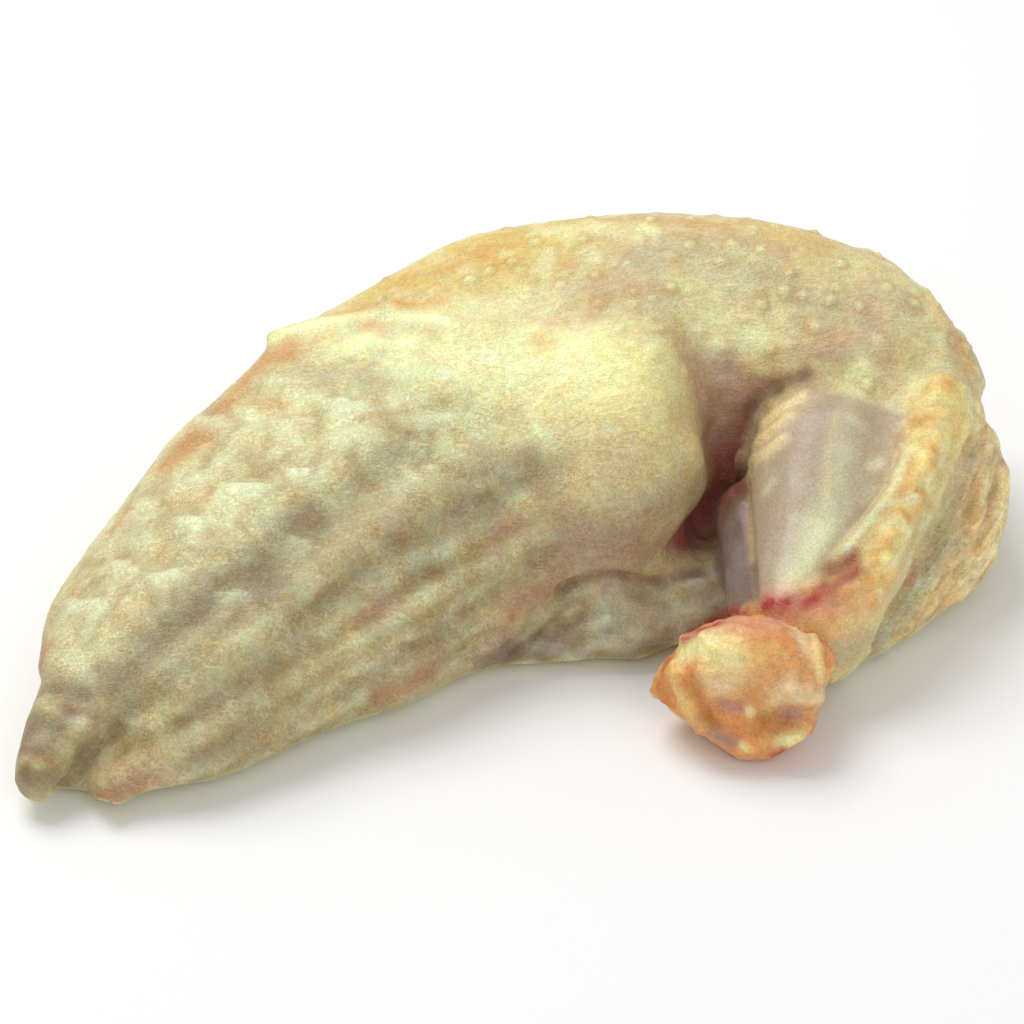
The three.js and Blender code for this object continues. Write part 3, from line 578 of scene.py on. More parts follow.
class Surface:
    """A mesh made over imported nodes, with its vertices as arrays in millimetres."""

    def __init__(self, name, meshes, voxel):
        self.piece = bpy.data.objects.new(name, self.joined(name, meshes))
        bpy.context.scene.collection.objects.link(self.piece)
        remesh = self.piece.modifiers.new("remesh", "REMESH")
        remesh.mode = "VOXEL"
        remesh.voxel_size = voxel * MM
        evaluated = self.piece.evaluated_get(bpy.context.evaluated_depsgraph_get())
        mesh = bpy.data.meshes.new_from_object(evaluated)
        self.piece.modifiers.clear()
        self.piece.data = mesh
        mesh.name = name
        mesh.shade_smooth()
        self.points = self.read(mesh.vertices, "co", 3, np.float32) / MM
        self.edges = self.read(mesh.edges, "vertices", 2, np.int32).astype(int)
        self.refresh()

    @staticmethod
    def joined(name, meshes):
        """One mesh of several lists of points and faces."""
        points, faces = [], []
        for places, polygons in meshes:
            faces += [[len(points) + i for i in polygon] for polygon in polygons]
            points += list(places * MM)
        mesh = bpy.data.meshes.new(name)
        mesh.from_pydata(points, [], faces)
        return mesh

    @staticmethod
    def read(items, key, width, kind):
        values = np.empty(len(items) * width, kind)
        items.foreach_get(key, values)
        return values.reshape(-1, width).astype(float)

    def refresh(self):
        """Writes the points to the mesh and reads its normals back."""
        mesh = self.piece.data
        mesh.vertices.foreach_set("co", (self.points * MM).ravel().astype(np.float32))
        mesh.update()
        self.normals = self.read(mesh.vertex_normals, "vector", 3, np.float32)
        self.tree = None

    def spread(self, values, rounds, share=0.5):
        """Values averaged with those of the neighbouring vertices."""
        a, b = self.edges.T
        count = len(self.points)
        degree = np.bincount(self.edges.ravel(), minlength=count)
        columns = values.reshape(count, -1)
        for _ in range(rounds):
            total = [np.bincount(a, c[b], count) + np.bincount(b, c[a], count) for c in columns.T]
            columns = columns + share * (np.stack(total, 1) / degree[:, None] - columns)
        return columns.reshape(values.shape)

    def smooth(self, rounds):
        """Takes facets off with little shrinking: each round pulls in and lets out again."""
        for _ in range(rounds):
            self.points = self.spread(self.points, 1, SMOOTH_IN)
            self.points = self.spread(self.points, 1, SMOOTH_OUT)
        self.refresh()

    def push(self, heights):
        self.points = self.points + self.normals * heights[:, None]
        self.refresh()

    def rest(self):
        """Keeps the mesh above the floor."""
        self.points[:, 2] = np.maximum(self.points[:, 2], 0)
        self.refresh()

    def look_through(self):
        """Notes each vertex's pixel and how well the photograph's camera sees it, from 0 to 1."""
        self.pixels = pixels_of(self.points)
        eye = Vector(EYE * MM)
        rays = self.points - EYE
        far = np.linalg.norm(rays, axis=1)
        rays /= far[:, None]
        tree = self.tree_of_faces()
        hits = [tree.ray_cast(eye, Vector(ray))[3] for ray in rays]
        reach = np.array([f if h is None else h / MM for h, f in zip(hits, far)])
        self.seen = self.spread((reach > far - SEEN_MARGIN).astype(float), SEEN_ROUNDS)

    def tree_of_faces(self):
        if self.tree is None:
            graph = bpy.context.evaluated_depsgraph_get()
            graph.update()
            self.tree = BVHTree.FromObject(self.piece, graph)
        return self.tree

    def first_hit(self, pixel):
        place = self.tree_of_faces().ray_cast(Vector(EYE * MM), Vector(ray_through(pixel)))[0]
        return None if place is None else np.array(place) / MM

    def stroke(self, line):
        """Distance of every vertex from a line of pixels drawn on the surface."""
        places = [np.asarray(line[0], float)]
        for start, end in zip(line[:-1], line[1:]):
            start, end = np.asarray(start, float), np.asarray(end, float)
            pieces = max(1, round(np.linalg.norm(end - start) / STROKE_STEP))
            places += [start + (end - start) * (i + 1) / pieces for i in range(pieces)]
        hits = [hit for hit in map(self.first_hit, places) if hit is not None]
        if len(hits) == 1:
            return np.linalg.norm(self.points - hits[0], axis=1)
        nearest = np.full(len(self.points), np.inf)
        for a, b in zip(hits[:-1], hits[1:]):
            nearest = np.minimum(nearest, segment_distance(self.points, a, b))
        return nearest

    def spots(self, places, width):
        """Hills of one width round several pixels."""
        total = np.zeros(len(self.points))
        for place in places:
            total = np.maximum(total, hill(self.stroke([place]), width))
        return total

    def region(self, outline, soft, ragged=0.0):
        """1 inside an outline of pixels, where the camera sees it, fading over soft millimetres."""
        corners = np.asarray(outline, float)
        away = np.full(len(self.points), np.inf)
        inside = np.zeros(len(self.points), bool)
        x, y = self.pixels.T
        for a, b in zip(corners, np.roll(corners, -1, 0)):
            away = np.minimum(away, segment_distance(self.pixels, a, b))
            crosses = (a[1] > y) != (b[1] > y)
            with np.errstate(divide="ignore", invalid="ignore"):
                inside ^= crosses & (x < a[0] + (y - a[1]) * (b[0] - a[0]) / (b[1] - a[1]))
        signed = np.where(inside, away, -away) * PIXEL
        if ragged:
            signed += ragged * (lumps(self.points, 9, 40) + 0.6 * lumps(self.points, 4, 41))
        return fade(signed, -soft / 2, soft / 2) * self.seen

    def trim(self, start, end, ends=0):
        """Moves what shows left of a line of pixels onto it. The surface lies on the line's right.

        With ends given, only what lies beside the line moves, fading over that many pixels at both ends."""
        start, end = np.asarray(start, float), np.asarray(end, float)
        length = np.linalg.norm(end - start)
        along = (end - start) / length
        outward = np.array((-along[1], along[0]))
        beyond = np.maximum((self.pixels - start) @ outward, 0) * PIXEL
        if ends:
            run = (self.pixels - start) @ along
            beyond *= band(run, -ends, ends, length - ends, length + ends)
        self.points = self.points - beyond[:, None] * (outward[0] * RIGHT - outward[1] * UP)
        self.refresh()

    def flatten(self, outline, share):
        """Draws what the camera sees inside an outline of pixels towards one plane."""
        mask = self.region(outline, FACET_EDGE)
        inside = self.points[mask > 0.5]
        middle = inside.mean(0)
        normal = np.linalg.svd(inside - middle, full_matrices=False)[2][2]
        self.points = self.points - (share * mask * ((self.points - middle) @ normal))[:, None] * normal
        self.refresh()

    def attribute(self, name, values):
        colour = values.ndim == 2
        kind = "FLOAT_COLOR" if colour else "FLOAT"
        data = self.piece.data.attributes.new(name, kind, "POINT").data
        if colour:
            values = np.column_stack((values, np.ones(len(values))))
        data.foreach_set("color" if colour else "value", values.ravel().astype(np.float32))


def packed_mesh(node, grow=0.0):
    """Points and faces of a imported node, let out along its normals."""
    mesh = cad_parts[node].data
    points = Surface.read(mesh.vertices, "co", 3, np.float32) / MM
    keys = [tuple(key) for key in np.round(points, 3)]
    first = {}
    merged = [first.setdefault(key, len(first)) for key in keys]
    places = np.array(list(first))
    faces = [[merged[i] for i in polygon.vertices] for polygon in mesh.polygons]
    if grow:
        normals = np.zeros_like(places)
        for a, b, c in faces:
            normals[[a, b, c]] += np.cross(places[b] - places[a], places[c] - places[a])
        places = places + grow * normals / np.linalg.norm(normals, axis=1)[:, None]
    return places, faces


# Shape of the meat

def bone_depth(points):
    """Distance of points outside the bone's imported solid, negative inside."""
    graph = bpy.context.evaluated_depsgraph_get()
    tree = BVHTree.FromObject(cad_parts["wing_bone"], graph)
    away = np.empty(len(points))
    for i, point in enumerate(points * MM):
        place, normal, _, distance = tree.find_nearest(Vector(point))
        inside = (Vector(point) - place).dot(normal) < 0
        away[i] = (-distance if inside else distance) / MM
    return away


def bared_bone(surface):
    """1 where the bone's end is bare of meat, past the blood line round its neck."""
    along = surface.points @ BONE_AXIS
    line = [surface.first_hit(pixel) for pixel in BLOOD_LINE]
    edge = np.mean([hit @ BONE_AXIS for hit in line]) + 0.8 * lumps(surface.points, 3.0, 5)
    bare = fade(edge - along, -0.6, 1.4) * (1 - fade(surface.depth, 0.8, 1.6))
    return surface.spread(bare, 3)


def shape_meat():
    """The meat with its named folds, ridges and pits, sunk under the bone's bare end."""
    solids = [packed_mesh("breast"), packed_mesh("wing_bone", CUFF_OVERLAP)]
    surface = Surface("capon_breast", solids, MEAT_VOXEL)
    surface.smooth(MEAT_SMOOTHING)
    surface.look_through()
    for start, end in MEAT_TRIMS:
        surface.trim(start, end, TRIM_ENDS)
    surface.depth = bone_depth(surface.points)
    surface.bare = bared_bone(surface)
    height = np.zeros(len(surface.points))
    for line, width, rise in [*GROOVES.values(), *RISES.values()]:
        height += rise * hill(surface.stroke(line), width)
    for places, width, rise in SPOTS:
        height += rise * surface.spots(places, width)
    surface.push(height * (1 - surface.bare) - CUFF_SINK * surface.bare)
    return surface


def thin_end_of(surface):
    """The thin end's sides that the camera doesn't see, which are bared like its face."""
    return fade(-surface.points[:, 0], *THIN_END) * (1 - surface.seen)


def wing_side_of(surface):
    """The wing's outer side, which the camera doesn't see and which is pleated like the web beside it."""
    x, y, _ = surface.points.T
    return 0.8 * fade(x, *WING_SIDE) * (1 - fade(y, *WING_BACK)) * (1 - surface.seen)


def find_regions(surface):
    """How far each vertex belongs to each tissue, from 0 to 1."""
    part = {name: surface.region(*tissue) for name, tissue in TISSUES.items()}
    part["roll"] = np.maximum(hill(surface.stroke(ROLL_LINE), 5.5), hill(surface.stroke(ROLL_TOP), 3.0))
    part["valley"] = hill(surface.stroke(VALLEY_LINE), 3.0)
    part["under"] = fade(-surface.normals[:, 2], 0.2, 0.8) * (1 - fade(surface.points[:, 2], 3, 9))
    thin_end = thin_end_of(surface)
    part["face"] = np.maximum(part["face"], thin_end)
    part["wool"] = np.maximum(part["wool"], 0.7 * thin_end)
    part["web"] = np.maximum(part["web"], wing_side_of(surface))
    bare = np.maximum.reduce([part[name] for name in SKINLESS])
    part["skin"] = np.maximum(1 - bare, part["muscle skin"])
    return part


# Fine relief of the meat

def scattered(surface, mask, spacing, count):
    """Vertices inside a mask that keep their distance from each other, drawn by chance."""
    chance = np.random.default_rng(SEED)
    chosen = np.empty((0, 3))
    for index in chance.permutation(np.flatnonzero(mask > 0.6)):
        place = surface.points[index]
        if len(chosen) == 0 or np.min(np.linalg.norm(chosen - place, axis=1)) > spacing:
            chosen = np.vstack((chosen, place))
        if len(chosen) == count:
            break
    return chosen


def add_follicles(surface, part):
    """Height of the follicles, where their pale tips are, and where the skin is darker round them."""
    named = [hit for hit in map(surface.first_hit, FOLLICLES) if hit is not None]
    strewn = scattered(surface, part["skin"], FOLLICLE_SPACING, FOLLICLE_COUNT)
    chance = np.random.default_rng(SEED + 1)
    height, tips, rings = np.zeros((3, len(surface.points)))
    for index, place in enumerate([*named, *strewn]):
        away = np.linalg.norm(surface.points - place, axis=1)
        width = chance.uniform(0.8, 1.2)
        large = index < len(named)
        size = chance.uniform(0.6, 0.95) if large else STREWN_HEIGHT * chance.uniform(0.3, 1.0) ** 2
        height = np.maximum(height, size * hill(away, width))
        tips = np.maximum(tips, 1.3 * size * hill(away, 0.8 * width))
        rings = np.maximum(rings, size * hill(away - 1.5 * width, 0.6 * width))
    return height, tips, rings


def flakes(surface):
    """Shreds of film on the face: where the hollow above a shred's edge is, and where the shred."""
    chance = np.random.default_rng(SEED + 2)
    hollow, shelf = np.zeros((2, len(surface.points)))
    wavy = 0.6 * lumps(surface.points, 2.5, 8) + 0.8 * lumps(surface.points, 6, 9)
    strewn = chance.uniform(FLAKE_FIELD[0], FLAKE_FIELD[1], (FLAKE_COUNT, 2))
    for x, y, half in [*FLAKES, *((x, y, chance.uniform(*FLAKE_WIDTHS)) for x, y in strewn)]:
        across, below = ((surface.pixels - (x, y)) * PIXEL).T
        below = below + wavy
        half = half * PIXEL
        width = 1 - fade(np.abs(across), 0.4 * half, 1.4 * half)
        hollow = np.maximum(hollow, width * band(below, *FLAKE_HOLLOW))
        shelf = np.maximum(shelf, width * band(below, *FLAKE_SHELF))
    return hollow * surface.seen, shelf * surface.seen


def note_patterns(surface, part):
    """Patterns of the tissues that both relief and colours follow."""
    points = surface.points
    surface.clumps = 0.6 * puffs(points, 9, 1) + 0.4 * puffs(points, 4.5, 2)
    surface.tufts = 0.6 * lumps(points, 6.5, 13) + 0.7 * lumps(points, 3.5, 14)
    hollow, shelf = flakes(surface)
    surface.hollow = hollow * part["wool"]
    surface.shelf = shelf * part["wool"]
    surface.follicles, surface.tips, surface.rings = add_follicles(surface, part)
    start, end = (surface.first_hit(pixel) for pixel in RIDGE_ENDS)
    surface.streaks = grain(points, end - start, *STREAKS)
    surface.pleats = grain(points, *PLEATS)
    surface.sinew = grain(points, *SINEW)


def texture_meat(surface, part):
    """Relief that is finer than the named lines."""
    points = surface.points
    note_patterns(surface, part)
    height = 0.5 * part["wool"] * (surface.clumps - 0.5)
    for name, rise, size, seed in FINE_LUMPS:
        height += rise * part[name] * lumps(points, size, seed)
    height += part["slab"] * (0.2 * surface.tufts + 0.5 * surface.streaks)
    height += 0.15 * part["face"] * (1 - part["slab"]) * surface.tufts
    height += 0.35 * part["lobe"] * grain(points, *LOBE_GRAIN)
    height += 0.3 * surface.shelf - 0.35 * surface.hollow
    height += part["skin"] * surface.follicles
    height += 0.9 * np.maximum(part["web"], 0.8 * part["valley"]) * surface.pleats
    height += 0.06 * part["muscle"] * surface.sinew
    height += 1.1 * part["roll"] * (puffs(points, 5, 9) - 0.5)
    height += 0.2 * part["armpit"] * grain(points, *ARMPIT_GRAIN)
    surface.push(height * fade(points[:, 2], 0.2, 2.5) * (1 - surface.bare))
    surface.rest()


# Colours of the meat. A number at the start of a mask is the share that its colour takes at most.

def paint(tint, mask, name):
    """Lays a colour over others where the mask is 1."""
    tint += np.clip(mask, 0, 1)[:, None] * (linear(COLOURS[name]) - tint)


def note_mottles(surface):
    """Noise that the colours follow."""
    surface.broad = lumps(surface.points, 16, 20)
    surface.middling = lumps(surface.points, 6, 21)
    surface.small = lumps(surface.points, 2.4, 22)
    surface.mottle = 0.5 + 0.5 * np.clip(surface.middling + 0.6 * surface.small, -1, 1)


def colour_skin(surface, part, tint):
    near, mottle, hidden = surface.stroke, surface.mottle, 1 - surface.seen
    broad, middling, small = surface.broad, surface.middling, surface.small
    paint(tint, 0.6 * fade(broad, 0.0, 0.4), "SKIN_GREY")
    paint(tint, 0.6 * fade(middling + 0.4 * small, 0.0, 0.6), "SKIN_MAUVE")
    paint(tint, 0.8 * hill(near(GREY_BAND), 7) * (0.6 + 0.4 * mottle), "SKIN_GREY")
    paint(tint, 0.9 * hill(near(TOP_STRIP), 4) * (0.3 + 0.7 * mottle), "SKIN_ORANGE")
    paint(tint, 0.6 * hidden * fade(broad + 0.4 * middling, -0.3, 0.5), "SKIN_YELLOW")
    paint(tint, 0.45 * hidden * (0.4 + 0.6 * mottle), "SKIN_MAUVE")
    paint(tint, part["yellow skin"] * (0.6 + 0.4 * mottle), "SKIN_YELLOW")
    paint(tint, 0.5 * part["yellow skin"] * fade(small + 0.5 * middling, 0.1, 0.6), "SKIN_ORANGE")
    paint(tint, 0.6 * fade(lumps(surface.points, 5, 23) + 0.5 * small, -0.1, 0.7), "SKIN_PALE")
    paint(tint, 0.7 * hill(near(ORANGE_EDGE), 2.5) * mottle, "SKIN_ORANGE")
    paint(tint, 0.5 * surface.rings, "SKIN_BROWN")
    paint(tint, surface.tips, "SKIN_PALE")


def colour_flesh(surface, part, tint):
    near, mottle, clumps = surface.stroke, surface.mottle, surface.clumps
    paint(tint, part["face"], "FLESH")
    # Darker tan below the woolly part: partly the flesh's own tone, partly painted shade of the lower face.
    paint(tint, part["face"] * (1 - part["wool"]), "FLESH_LOW")
    paint(tint, 0.9 * part["cheek"], "CHEEK_YELLOW")
    paint(tint, 0.85 * surface.region(CHEEK_LOW, 22, 3), "CHEEK_TAN")
    paint(tint, 0.5 * hill(near(MAUVE_LINE), 3) * mottle, "SKIN_MAUVE")
    wool = np.maximum(0.45 * part["face"], part["wool"])
    # Tan in the hollows between the woolly clumps and pale on their tops: partly the flesh's own tones,
    # partly painted shade and painted highlight.
    paint(tint, 0.75 * wool * (1 - fade(clumps, 0.1, 0.55)), "FLESH_TAN")
    paint(tint, 0.7 * wool * fade(clumps, 0.45, 0.9), "FLESH_PALE")
    paint(tint, 0.5 * wool * fade(surface.middling + 0.5 * surface.small, 0.05, 0.5), "FLESH_WARM")
    paint(tint, hill(near(RIM_LINE), 3.0) * (0.6 + 0.4 * mottle), "FLESH_ORANGE")
    paint(tint, part["thumb"], "THUMB_GREY")
    paint(tint, part["lobe"], "LOBE_TAN")
    # Paler on the lobe's raised grain: painted light.
    paint(tint, 0.5 * part["lobe"] * fade(grain(surface.points, *LOBE_GRAIN), 0.1, 0.6), "LOBE_LIGHT")


def colour_muscles(surface, part, tint):
    near, mottle = surface.stroke, surface.mottle
    paint(tint, part["web"], "WEB_YELLOW")
    # Green-grey in the pleats' hollows: partly membrane, partly painted shade.
    paint(tint, 0.7 * part["web"] * fade(-surface.pleats, 0.05, 0.5), "WEB_GREEN")
    paint(tint, 0.5 * part["web"] * fade(surface.small + 0.6 * surface.middling, 0.2, 0.7), "WEB_BROWN")
    paint(tint, part["muscle"], "MUSCLE_MAUVE")
    # Pale along the muscle's shine and its lower part: painted highlights; faint pale sinews along its grain.
    paint(tint, 0.2 * part["muscle"] * hill(near(MUSCLE_SHINE), 2.4), "MUSCLE_PALE")
    paint(tint, 0.85 * part["muscle"] * hill(near(MUSCLE_LOW), 4.0), "MUSCLE_PALE")
    paint(tint, 0.07 * part["muscle"] * fade(surface.sinew, 0.1, 0.6), "MUSCLE_PALE")
    paint(tint, part["muscle skin"] * (0.7 + 0.3 * mottle), "MUSCLE_RIM")
    paint(tint, part["back muscle"], "BACK_GREY")
    # Painted shade on the back muscle's top, under the big muscle.
    paint(tint, part["back muscle"] * hill(near(BACK_TOP), 5), "BACK_DARK")


def colour_folds(surface, part, tint):
    """The armpit with painted shade deepening into its recess, the roll of skin with painted glints, and the
    cuff round the bone.
    """
    near, mottle, small, middling = surface.stroke, surface.mottle, surface.small, surface.middling
    sunk = fade(surface.pixels[:, 1], *ARMPIT_ROWS)
    # Mauve, then brown lower down and red along the gap: partly the armpit's own dark flesh, partly painted
    # shade deepening into the recess.
    paint(tint, 0.4 * hill(near(ARMPIT_TOP), 3.5) * (0.5 + 0.5 * mottle), "ARMPIT_MAUVE")
    paint(tint, 0.8 * part["armpit"], "ARMPIT_MAUVE")
    paint(tint, 0.9 * part["armpit"] * sunk, "ARMPIT_BROWN")
    paint(tint, hill(near(ARMPIT_LINE), 3.2), "ARMPIT_RED")
    paint(tint, 0.7 * surface.spots(HILLS, 2.4), "SKIN_PALE")
    paint(tint, part["roll"] * (0.75 + 0.25 * mottle), "ROLL_YELLOW")
    paint(tint, 0.7 * part["roll"] * fade(small + 0.5 * middling, 0.05, 0.5), "SKIN_ORANGE")
    # White patches on the roll: painted glints.
    paint(tint, 0.7 * part["roll"] * fade(-small - 0.3 * middling, 0.15, 0.5), "LIP_WHITE")
    paint(tint, 0.8 * part["valley"], "VALLEY_GREEN")
    paint(tint, hill(near(ROLL_LINE[-2:]), 4.5) * (0.5 + 0.4 * mottle), "GRISTLE_ORANGE")
    paint(tint, 0.9 * (1 - fade(surface.depth, 0.8, 2.2)), "GRISTLE_ORANGE")


def colour_marks_and_painted_light(surface, part, tint):
    """Small stains, films and blood, with painted light and shade: on the listed marks, in the hollows above
    shreds, on shreds and tufts, and along the floor.
    """
    near, mottle, small, height = surface.stroke, surface.mottle, surface.small, surface.points[:, 2]
    for name, share, width, line in MEAT_MARKS_AND_PAINTED_LIGHT:
        paint(tint, share * hill(near(line) + 0.5 * width * small, width) * (0.6 + 0.5 * mottle), name)
    # The lip's white edge, partly painted highlight.
    paint(tint, 0.8 * hill(near(LIP_LINE), 1.8), "LIP_WHITE")
    # Tan in the hollow above each shred: painted shade. The shreds and the tufts: white film, partly painted
    # highlight.
    paint(tint, 0.7 * surface.hollow * (0.5 + 0.5 * mottle), "FLESH_TAN")
    paint(tint, 0.7 * surface.shelf, "FILM_WHITE")
    paint(tint, 0.5 * surface.spots(TUFTS, 3.2) * mottle, "FILM_WHITE")
    drops = fade(lumps(surface.points, 2.2, 24) + 0.3 * small, -0.6, 0.5)
    paint(tint, 0.55 * hill(near(BLOOD_LINE), 1.8) * (0.4 + 0.6 * drops), "BLOOD")
    for share, width, line in BLOOD_SPOTS:
        paint(tint, share * hill(near(line), width) * (0.35 + 0.65 * drops), "BLOOD")
    # Tan low on the face; the dark brown line where the meat meets the floor is painted shade.
    paint(tint, 0.6 * part["face"] * (1 - fade(height, 1.5, 6)), "EDGE_TAN")
    paint(tint, 0.8 * (1 - fade(height, 0.4, 2.4)), "EDGE_BROWN")
    paint(tint, part["under"], "FLESH")


def shade_patches(surface, part, tint):
    """Makes the tissues lighter and darker in patches, redder where they are darker. On the face the patches
    follow the relief's tufts and streaks, so raised places come out lighter and dips darker: partly painted
    light and shade.
    """
    mottling = 0.15 - 0.1 * part["wool"] - 0.1 * part["muscle"]
    for name, share in PATCHY.items():
        mottling = np.maximum(mottling, share * part[name])
    patches = (0.7 - 0.3 * part["slab"]) * surface.tufts + 0.9 * surface.streaks * part["slab"]
    tint *= 1 + (mottling * patches)[:, None] * SHADE_GAINS


def note_finish(surface, part):
    """Where the material is fibrous, wet, wrinkled, mottled and pleated."""
    fibre = np.maximum.reduce([part["fibrous"], thin_end_of(surface), 0.6 * part["lobe"]])
    surface.attribute("fibre", fibre * (1 - 0.4 * part["cheek"]) * (1 - 0.4 * part["thumb"]))
    bare_muscle = part["muscle"] * (1 - part["muscle skin"])
    smooth = np.maximum.reduce([bare_muscle, part["back muscle"], surface.shelf])
    surface.attribute("wet", smooth)
    wrinkled = np.maximum(0.8 * part["cheek"], 0.7 * part["skin"]) * (1 - 0.7 * part["wool"])
    surface.attribute("wrinkled", wrinkled * (1 - 0.6 * part["roll"]))
    mottled = 0.5 + 0.15 * part["face"] - 0.4 * part["wool"]
    for name in MOTTLED:
        mottled = np.maximum(mottled, 0.7 * part[name])
    surface.attribute("mottled", mottled * (1 - 0.8 * smooth))
    surface.attribute("pleated", np.maximum(part["web"], part["valley"]))


def colour_meat(surface, part):
    note_mottles(surface)
    tint = np.tile(linear(COLOURS["SKIN"]), (len(surface.points), 1))
    for layer in (colour_skin, colour_flesh, colour_muscles, colour_folds, colour_marks_and_painted_light, shade_patches):
        layer(surface, part, tint)
    surface.attribute("tint", np.clip(tint, 0, 1))
    note_finish(surface, part)


# The bone's end

def shape_bone():
    """The bone's end with its cut facets, rims, pits and lumps of gristle."""
    surface = Surface("wing_bone_end", [packed_mesh("wing_bone")], BONE_VOXEL)
    surface.smooth(BONE_SMOOTHING)
    surface.look_through()
    points = surface.points
    height = np.zeros(len(points))
    for rise, size, seed in BONE_LUMPS:
        height += rise * lumps(points, size, seed)
    for start, end in BONE_TRIMS:
        surface.trim(start, end)
    for outline in BONE_FACETS.values():
        surface.flatten(outline, FACET_SHARE)
    height += 0.5 * surface.spots(BONE_KNOBS, 1.2)
    for line, width, rise in BONE_FORMS.values():
        height += rise * hill(surface.stroke(line), width)
    surface.push(height * fade(points[:, 2], 0.2, 2.0))
    surface.rest()
    return surface


def colour_bone(surface):
    points = surface.points
    mottle = 0.5 + 0.5 * np.clip(lumps(points, 5, 30) + 0.6 * lumps(points, 2, 31), -1, 1)
    tint = np.tile(linear(COLOURS["GRISTLE_ORANGE"]), (len(points), 1))
    paint(tint, 0.7 * fade(mottle, 0.45, 0.9), "GRISTLE_YELLOW")
    paint(tint, 0.4 * fade(lumps(points, 3.5, 32), 0.2, 0.6), "GRISTLE_BROWN")
    for name, share, width, line in BONE_STAINS_AND_SHADOWS:
        paint(tint, share * hill(surface.stroke(line), width) * (0.7 + 0.5 * mottle), name)
    surface.attribute("tint", tint)
    for name, value in BONE_FINISH.items():
        surface.attribute(name, np.full(len(points), value))


# Materials

def add(tree, kind, inputs=None, **settings):
    """A shader node with its settings, and with its inputs set or linked."""
    node = tree.nodes.new("ShaderNode" + kind)
    for key, value in settings.items():
        setattr(node, key, value)
    for key, value in (inputs or {}).items():
        if isinstance(value, bpy.types.NodeSocket):
            tree.links.new(value, node.inputs[key])
        else:
            node.inputs[key].default_value = value
    return node


def maths(tree, operation, a, b=0.0, c=0.0, clamp=False):
    return add(tree, "Math", {0: a, 1: b, 2: c}, operation=operation, use_clamp=clamp).outputs[0]


def times(tree, a, b):
    return maths(tree, "MULTIPLY", a, b)


def mixed(tree, blend, share, a, b):
    """Two colours mixed or multiplied. Sockets 6 and 7 of the node are its colours."""
    inputs = {"Factor": share, 6: a, 7: b}
    return add(tree, "Mix", inputs, data_type="RGBA", blend_type=blend).outputs[2]


def stretched(tree, place, turn, long, offset=0.0):
    """Places drawn out along the turned x axis."""
    inputs = {"Vector": place, "Location": [offset] * 3, "Rotation": turn, "Scale": (long, 1.0, 1.0)}
    return add(tree, "Mapping", inputs, vector_type="TEXTURE").outputs[0]


def clouds(tree, place, scale, detail, **others):
    inputs = {"Vector": place, "Scale": scale, "Detail": detail, **others}
    return add(tree, "TexNoise", inputs).outputs["Fac"]


def filaments(tree, place, turn, offset, scale, narrow):
    """Fine fibres along a direction, where a drawn-out noise passes through its middle value."""
    drawn = stretched(tree, place, turn, FILAMENT_LENGTH, offset)
    value = clouds(tree, drawn, scale, 1.0, Roughness=0.6, Distortion=0.35)
    away = maths(tree, "ABSOLUTE", maths(tree, "SUBTRACT", value, 0.5))
    return maths(tree, "SUBTRACT", 1.0, times(tree, away, narrow), clamp=True)


def crossed(tree, place, strands):
    """Sets of filaments laid over each other."""
    first, *others = [filaments(tree, place, *strand) for strand in strands]
    for other in others:
        first = maths(tree, "MAXIMUM", first, other)
    return first


def ranged(tree, value, low, high, start=0.3, end=0.7):
    return add(tree, "MapRange", {"Value": value, 1: start, 2: end, 3: low, 4: high}).outputs[0]


def fields_of(tree):
    """The mesh's own values and the noises that colour, shade and relief share."""
    place = add(tree, "TexCoord").outputs["Object"]
    field = {"place": place, "tint": add(tree, "Attribute", attribute_name="tint").outputs["Color"]}
    for name in FINISHES:
        field[name] = add(tree, "Attribute", attribute_name=name).outputs["Fac"]
    for name, (scale, detail) in NOISES.items():
        field[name] = clouds(tree, place, scale, detail)
    field["threads"] = crossed(tree, place, FIBRES)
    field["creases"] = times(tree, crossed(tree, place, WRINKLES), field["wrinkled"])
    field["pleats"] = clouds(tree, stretched(tree, place, PLEAT_TURN, PLEAT_LENGTH), 900, 3)
    return field


def hued(tree, field):
    """The mesh's colours with paler and warmer patches, and with patches of other hues where mottled."""
    warmth = times(tree, maths(tree, "ADD", field["cloud"], field["speckle"]), 0.5)
    warm = mixed(tree, "MIX", ranged(tree, warmth, 0, 1, 0.38, 0.62), PALE_SHIFT, WARM_SHIFT)
    colour = mixed(tree, "MULTIPLY", 1.0, field["tint"], warm)
    for number, (first, second) in enumerate(HUE_SHIFTS):
        apart = stretched(tree, field["place"], (0.0, 0.0, 0.0), 1.0, 0.5 + number)
        patches = clouds(tree, apart, 230, 4, Roughness=0.65)
        hue = mixed(tree, "MIX", ranged(tree, patches, 0, 1, 0.35, 0.65), first, second)
        colour = mixed(tree, "MULTIPLY", field["mottled"], colour, hue)
    return colour


